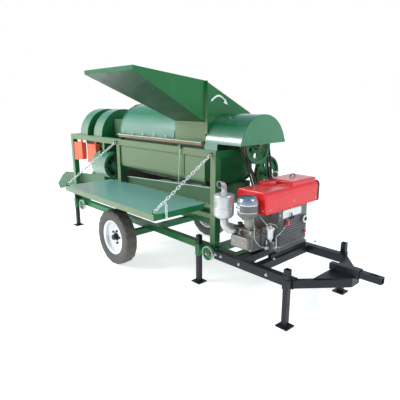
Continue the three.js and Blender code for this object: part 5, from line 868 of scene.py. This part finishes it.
# Silencer: barrel with rolled seams, bulb below and an open elbow above
MUFFLER_X, MUFFLER_Y = 2.762, -0.385
barrel_line = [(0.668, 0), (0.668, 0.03), (0.672, 0.045), (0.682, 0.064), (0.698, 0.077), (0.714, 0.0815),
    (0.76, 0.0815), (0.762, 0.083), (0.7655, 0.083), (0.7675, 0.0815), (0.85, 0.0815), (0.858, 0.08), (0.866, 0.0735),
    (0.873, 0.06), (0.878, 0.04), (0.88, 0.02), (0.88, 0)]
barrel = piece("silencer_barrel", lathe(barrel_line, "Z", spot(MUFFLER_X, MUFFLER_Y, 0), 72), BARREL)
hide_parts("muffler")
ELBOW = [(0, 0.872), (0, 0.9), (-0.004, 0.92), (-0.018, 0.94), (-0.042, 0.949), (-0.056, 0.948)]
piece("silencer_elbow", pipe([(MUFFLER_X, MUFFLER_Y + y, z) for y, z in ELBOW],
    [0.0215, 0.0225, 0.0245, 0.0265, 0.0275, 0.0285], 8, 32, 0.0025), BARREL)
# A black plug a little inside the elbow's mouth: soot, and painted shade for the depth of the bore
piece("silencer_soot_and_bore_shade", pipe([(MUFFLER_X, MUFFLER_Y + y, z) for y, z in ((-0.03, 0.9455), (-0.044, 0.949))],
    [0.0246, 0.025], 2, 32), SOOT_AND_SHADE)
piece("silencer_bulb", pipe([(MUFFLER_X, MUFFLER_Y, 0.675), (MUFFLER_X, MUFFLER_Y, 0.66),
    (MUFFLER_X + 0.002, MUFFLER_Y, 0.645), (MUFFLER_X + 0.01, MUFFLER_Y + 0.006, 0.61),
    (MUFFLER_X + 0.03, MUFFLER_Y + 0.03, 0.58), (2.815, -0.34, 0.571), (2.822, -0.318, 0.57)],
    [0.026, 0.025, 0.03, 0.0335, 0.031, 0.027, 0.025], 8, 32), BARREL)
piece("silencer_collars", together(ringed("Z", MUFFLER_X, MUFFLER_Y, 0.031, 0.02, 0.654, 0.664),
    ringed("Z", MUFFLER_X, MUFFLER_Y, 0.0275, 0.018, 0.877, 0.885)), BARREL)
hex_bolts("silencer_bolts", [(spot(2.79, -0.311, z), (0, -1, 0)) for z in (0.545, 0.592)], 0.0065)

# Air cleaner: glossy dome over a dark body with a clamp, and its intake elbow
CLEANER_X, CLEANER_Y = 3.0, -0.378
dome_line = [(0.842, 0), (0.842, 0.081), (0.846, 0.0812), (0.85, 0.079), (0.863, 0.0765), (0.876, 0.069),
    (0.886, 0.058), (0.893, 0.043), (0.897, 0.024), (0.898, 0)]
dome = piece("cleaner_dome", lathe(dome_line, "Z", spot(CLEANER_X, CLEANER_Y, 0), 72), DOME)
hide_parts("air_cleaner")
bowl_line = [(0.72, 0), (0.72, 0.04), (0.724, 0.052), (0.734, 0.064), (0.744, 0.0745), (0.75, 0.077), (0.762, 0.078),
    (0.8, 0.078), (0.802, 0.0795), (0.806, 0.0795), (0.808, 0.078), (0.842, 0.078), (0.842, 0)]
piece("cleaner_body", lathe(bowl_line, "Z", spot(CLEANER_X, CLEANER_Y, 0), 72), HEAD_PAINT)
piece("cleaner_clamps", together(ringed("Z", CLEANER_X, CLEANER_Y, 0.0805, 0.077, 0.828, 0.838, 72),
    ringed("Z", CLEANER_X, CLEANER_Y, 0.0795, 0.076, 0.772, 0.777, 72)), STEEL)
blank = arc(0, 0, 0.0788, 215, 262, 16) + arc(0, 0, 0.0775, 262, 215, 16)
piece("cleaner_blank_plate", prism([(CLEANER_X + a, CLEANER_Y + b) for a, b in blank], "Z", 0.782, 0.824), SILVER)
piece("cleaner_intake", pipe([(CLEANER_X, CLEANER_Y, 0.728), (3.003, -0.374, 0.705), (3.0, -0.36, 0.672),
    (2.975, -0.325, 0.645), (2.956, -0.285, 0.628), (2.9528, -0.262, 0.615), (2.9528, -0.2575, 0.601)],
    [0.03, 0.032, 0.034, 0.033, 0.03, 0.028, 0.028], 8, 32), BRONZE)
piece("cleaner_intake_collars", together(ringed("Z", CLEANER_X, CLEANER_Y, 0.041, 0.028, 0.709, 0.722, 48),
    ringed("Z", 2.9528, -0.2575, 0.0365, 0.02, 0.6003, 0.611, 48)), BRONZE)

# Cylinder head and its rocker cover, cast with rounded corners
head = piece("head_casting", boxes([((2.79, -0.31, 0.425), (2.996, -0.2053, 0.6))]), CAST_ALLOY, bevel=0.009)
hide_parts("cylinder_head")
piece("rocker_cover", prism(rounded((2.817, 0.459, 0.013), (2.969, 0.459, 0.013), (2.962, 0.524, 0.019),
    (2.824, 0.524, 0.019)), "Y", -0.349, -0.308), BRONZE, bevel=0.01)
piece("rocker_cover_flange", prism(rounded((2.812, 0.454, 0.014), (2.974, 0.454, 0.014), (2.97, 0.533, 0.018),
    (2.816, 0.533, 0.018)), "Y", -0.317, -0.309), CAST_ALLOY, bevel=0.0015)
hex_bolts("rocker_bolts", [(spot(x, -0.349, z), (0, -1, 0)) for x, z in ((2.848, 0.5), (2.938, 0.5))]
    + [(spot(x, -0.31, z), (0, -1, 0)) for x, z in ((2.806, 0.58), (2.88, 0.584), (2.98, 0.58), (2.806, 0.44),
    (2.98, 0.44))], 0.007)
piece("injector_and_studs", together(rod("Y", 2.893, 0.566, 0.012, -0.345, -0.308, 24),
    rod("Y", 2.893, 0.566, 0.017, -0.322, -0.308, 6), *[rod("Y", x, z, 0.0055, -0.326, -0.308, 12)
    for x, z in ((2.85, 0.57), (2.936, 0.57))]), CASTING)
piece("head_cooling_ribs", boxes([((2.9955, -0.298, z), (3.001, -0.214, z + 0.004))
    for z in (0.45, 0.468, 0.486, 0.504, 0.522)]), CAST_ALLOY)
piece("rocker_breather", together(rod("Z", 2.835, -0.27, 0.016, 0.599, 0.622, 28),
    rod("Z", 2.835, -0.27, 0.021, 0.618, 0.63, 28)), LAMP_BLACK, bevel=0.0015)

# Fuel filter, pump and the thin fuel lines
FILTER_X, FILTER_Y = 3.122, -0.25
filter_line = [(0.55, 0), (0.55, 0.012), (0.553, 0.016), (0.562, 0.0195), (0.566, 0.022), (0.628, 0.0225),
    (0.631, 0.0225), (0.632, 0.031), (0.6355, 0.0322), (0.646, 0.031), (0.649, 0.024), (0.6505, 0.011),
    (0.658, 0.0105), (0.659, 0.009), (0.659, 0)]
bowl = piece("filter_bowl", lathe(filter_line, "Z", spot(FILTER_X, FILTER_Y, 0), 48), SILVER)
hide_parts("fuel_filter")
piece("filter_bracket", together(rod("X", FILTER_Y, 0.577, 0.009, 2.998, 3.102, 20),
    boxes([((2.9963, -0.272, 0.556), (3.003, -0.228, 0.598))])), CASTING)
hex_bolts("filter_bolts", [(spot(3.003, y, 0.577), (1, 0, 0)) for y in (-0.264, -0.236)]
    + [(spot(FILTER_X, FILTER_Y, 0.659), (0, 0, 1)), (spot(3.138, FILTER_Y - 0.028, 0.64), (0.5, -1, 0))], 0.0055)
piece("fuel_lines", together(tube([(3.13, -0.28, 0.64), (3.136, -0.3, 0.668), (3.1, -0.305, 0.7), (3.05, -0.3, 0.738),
    (3.03, -0.27, 0.752)], 0.0032, 10, 6), tube([(3.012, -0.32, 0.7), (3.028, -0.325, 0.62), (3.022, -0.31, 0.54),
    (3.035, -0.25, 0.47), (3.05, -0.19, 0.455)], 0.003, 10, 6),
    tube([(3.122, -0.25, 0.552), (3.122, -0.235, 0.53), (3.108, -0.19, 0.505), (3.08, -0.15, 0.48)], 0.003, 10, 6),
    tube([(3.1, -0.276, 0.645), (3.09, -0.24, 0.665), (3.088, -0.15, 0.64), (3.08, -0.1, 0.6)], 0.003, 10, 6)), WORN)
PUMP = [((3.02, -0.158, 0.42), (3.07, -0.1, 0.476)), ((3.028, -0.176, 0.43), (3.06, -0.15, 0.462)),
    ((3.005, -0.15, 0.43), (3.03, -0.11, 0.465))]
piece("fuel_pump_block", boxes(PUMP), CASTING, bevel=0.006)
piece("fuel_pump_fittings", together(rod("Z", 3.045, -0.14, 0.011, 0.47, 0.512, 24),
    rod("Z", 3.045, -0.14, 0.016, 0.476, 0.488, 6), rod("Y", 3.044, 0.446, 0.012, -0.2, -0.17, 24),
    rod("Y", 3.044, 0.446, 0.0165, -0.188, -0.172, 6), rod("X", -0.13, 0.45, 0.012, 3.06, 3.096, 24),
    rod("X", -0.13, 0.45, 0.017, 3.07, 3.083, 6), rod("Z", 3.026, -0.165, 0.008, 0.46, 0.5, 20)), STEEL)
piece("governor_lever", together(tube([(3.09, -0.12, 0.452), (3.1, -0.14, 0.5), (3.104, -0.15, 0.545)], 0.0045, 10,
    5), tube([(3.104, -0.15, 0.545), (3.108, -0.08, 0.575), (3.106, -0.03, 0.61)], 0.0028, 10, 5)), ZINC)

# Crankcase: blank plate, knob seat, starting boss, plug and foot bolts
piece("blank_plate", boxes([((3.0873, -0.052, 0.667), (3.0895, 0.208, 0.733))]), SILVER,
    bevel=0.001)
hex_bolts("plate_screws", [(spot(3.0893, y, z), (1, 0, 0)) for y in (-0.044, 0.2) for z in (0.675, 0.725)], 0.0035)
piece("plate_levers", together(rod("X", 0.055, 0.658, 0.009, 3.086, 3.108, 24),
    rod("X", 0.1, 0.655, 0.012, 3.086, 3.1, 24), boxes([((3.096, 0.05, 0.655), (3.104, 0.06, 0.7))])), LAMP_BLACK,
    bevel=0.001)
piece("knob_seat", lathe([(0, 0.0075), (0, 0.0255), (0.003, 0.0265), (0.005, 0.0255), (0.005, 0.0075)], "X",
    spot(3.092, -0.005, 0.627), 40), LAMP_BLACK)
piece("starting_boss_ring", lathe([(0, 0.0185), (0, 0.033), (0.006, 0.033), (0.0085, 0.03), (0.0085, 0.021),
    (0.006, 0.0185)], "X", spot(3.111, 0.234, 0.618), 48), SILVER)
piece("oil_plug", together(rod("X", 0.262, 0.5, 0.012, 3.085, 3.108, 24),
    rod("X", 0.262, 0.5, 0.0165, 3.092, 3.104, 6)), RED, bevel=0.001)
hex_bolts("crankcase_bolts", [(spot(3.083, y, z), (1, 0, 0))
    for y, z in ((-0.083, 0.44), (-0.083, 0.545), (-0.083, 0.7), (0.288, 0.7), (0.288, 0.545), (0.27, 0.44))]
    + [(spot(x, y, 0.4113), (0, 0, 1)) for x in (2.86, 3.075) for y in (-0.107, 0.3)], 0.0075)
side_cover = [(2.87, 0.46), (2.98, 0.46), (2.995, 0.49), (2.995, 0.68), (2.97, 0.71), (2.88, 0.71), (2.865, 0.68),
    (2.865, 0.48)]
piece("gear_side_cover", prism(side_cover, "Y", -0.101, -0.094), HEAD_PAINT, bevel=0.002)

# Bolts on the black frame and the engine bearers, and the weld beads round the feet
chassis_face = -0.3803
hex_bolts("chassis_bolts", [(spot(x, chassis_face, z), (0, -1, 0))
    for x, z in ((2.675, 0.336), (2.735, 0.336), (2.93, 0.327), (3.2, 0.327))], 0.0095)
hex_bolts("bearer_bolts", [(spot(x, y, 0.4003), (0, 0, 1))
    for x, y in ((2.83, -0.24), (3.16, -0.24), (2.83, 0.34), (3.16, 0.34))], 0.009)
bead_run, bead_edges = (-0.0235, 0.0235), ((-0.0235, -0.0195), (0.0195, 0.0235))
for name, (x, y) in {"rear_near": (0.09, -0.345), "front_near": (2.43, -0.345), "drawbar_near": (3.395, -0.4),
        "rear_far": (0.09, 0.345), "front_far": (2.43, 0.345), "drawbar_far": (3.395, 0.4)}.items():
    piece("foot_bead_" + name, boxes([((x + dx[0], y + dy[0], 0.0075), (x + dx[1], y + dy[1], 0.0115))
        for dx, dy in [(bead_run, e) for e in bead_edges] + [(e, bead_run) for e in bead_edges]]), BLACK,
        "leg_" + name, bevel=0.0015)

# Bearing bolts and the plain turning arrow on the right end plate
hex_bolts("bearing_bolts_right", [(spot(2.4725, 0.038 * a, 1.215 + 0.038 * b), (1, 0, 0))
    for a, b in ((1, 1), (1, -1), (-1, 1), (-1, -1))], 0.008)
arrow_x = 2.4603
arrow = [(-0.235 + 0.17 * t, 1.578 + 0.042 * sin(pi * t)) for t in (k / 14 for k in range(15))]
upper = [(a, b + 0.0075 * (1.2 - 0.5 * i / 14)) for i, (a, b) in enumerate(arrow)]
lower = [(a, b - 0.0075 * (1.2 - 0.5 * i / 14)) for i, (a, b) in enumerate(arrow)]
piece("turning_arrow", together(prism(upper + lower[::-1], "X", arrow_x - 0.0005, arrow_x + 0.0005),
    prism([(-0.07, 1.597), (-0.036, 1.545), (-0.088, 1.562)], "X", arrow_x - 0.0005, arrow_x + 0.0006)), WHITE)
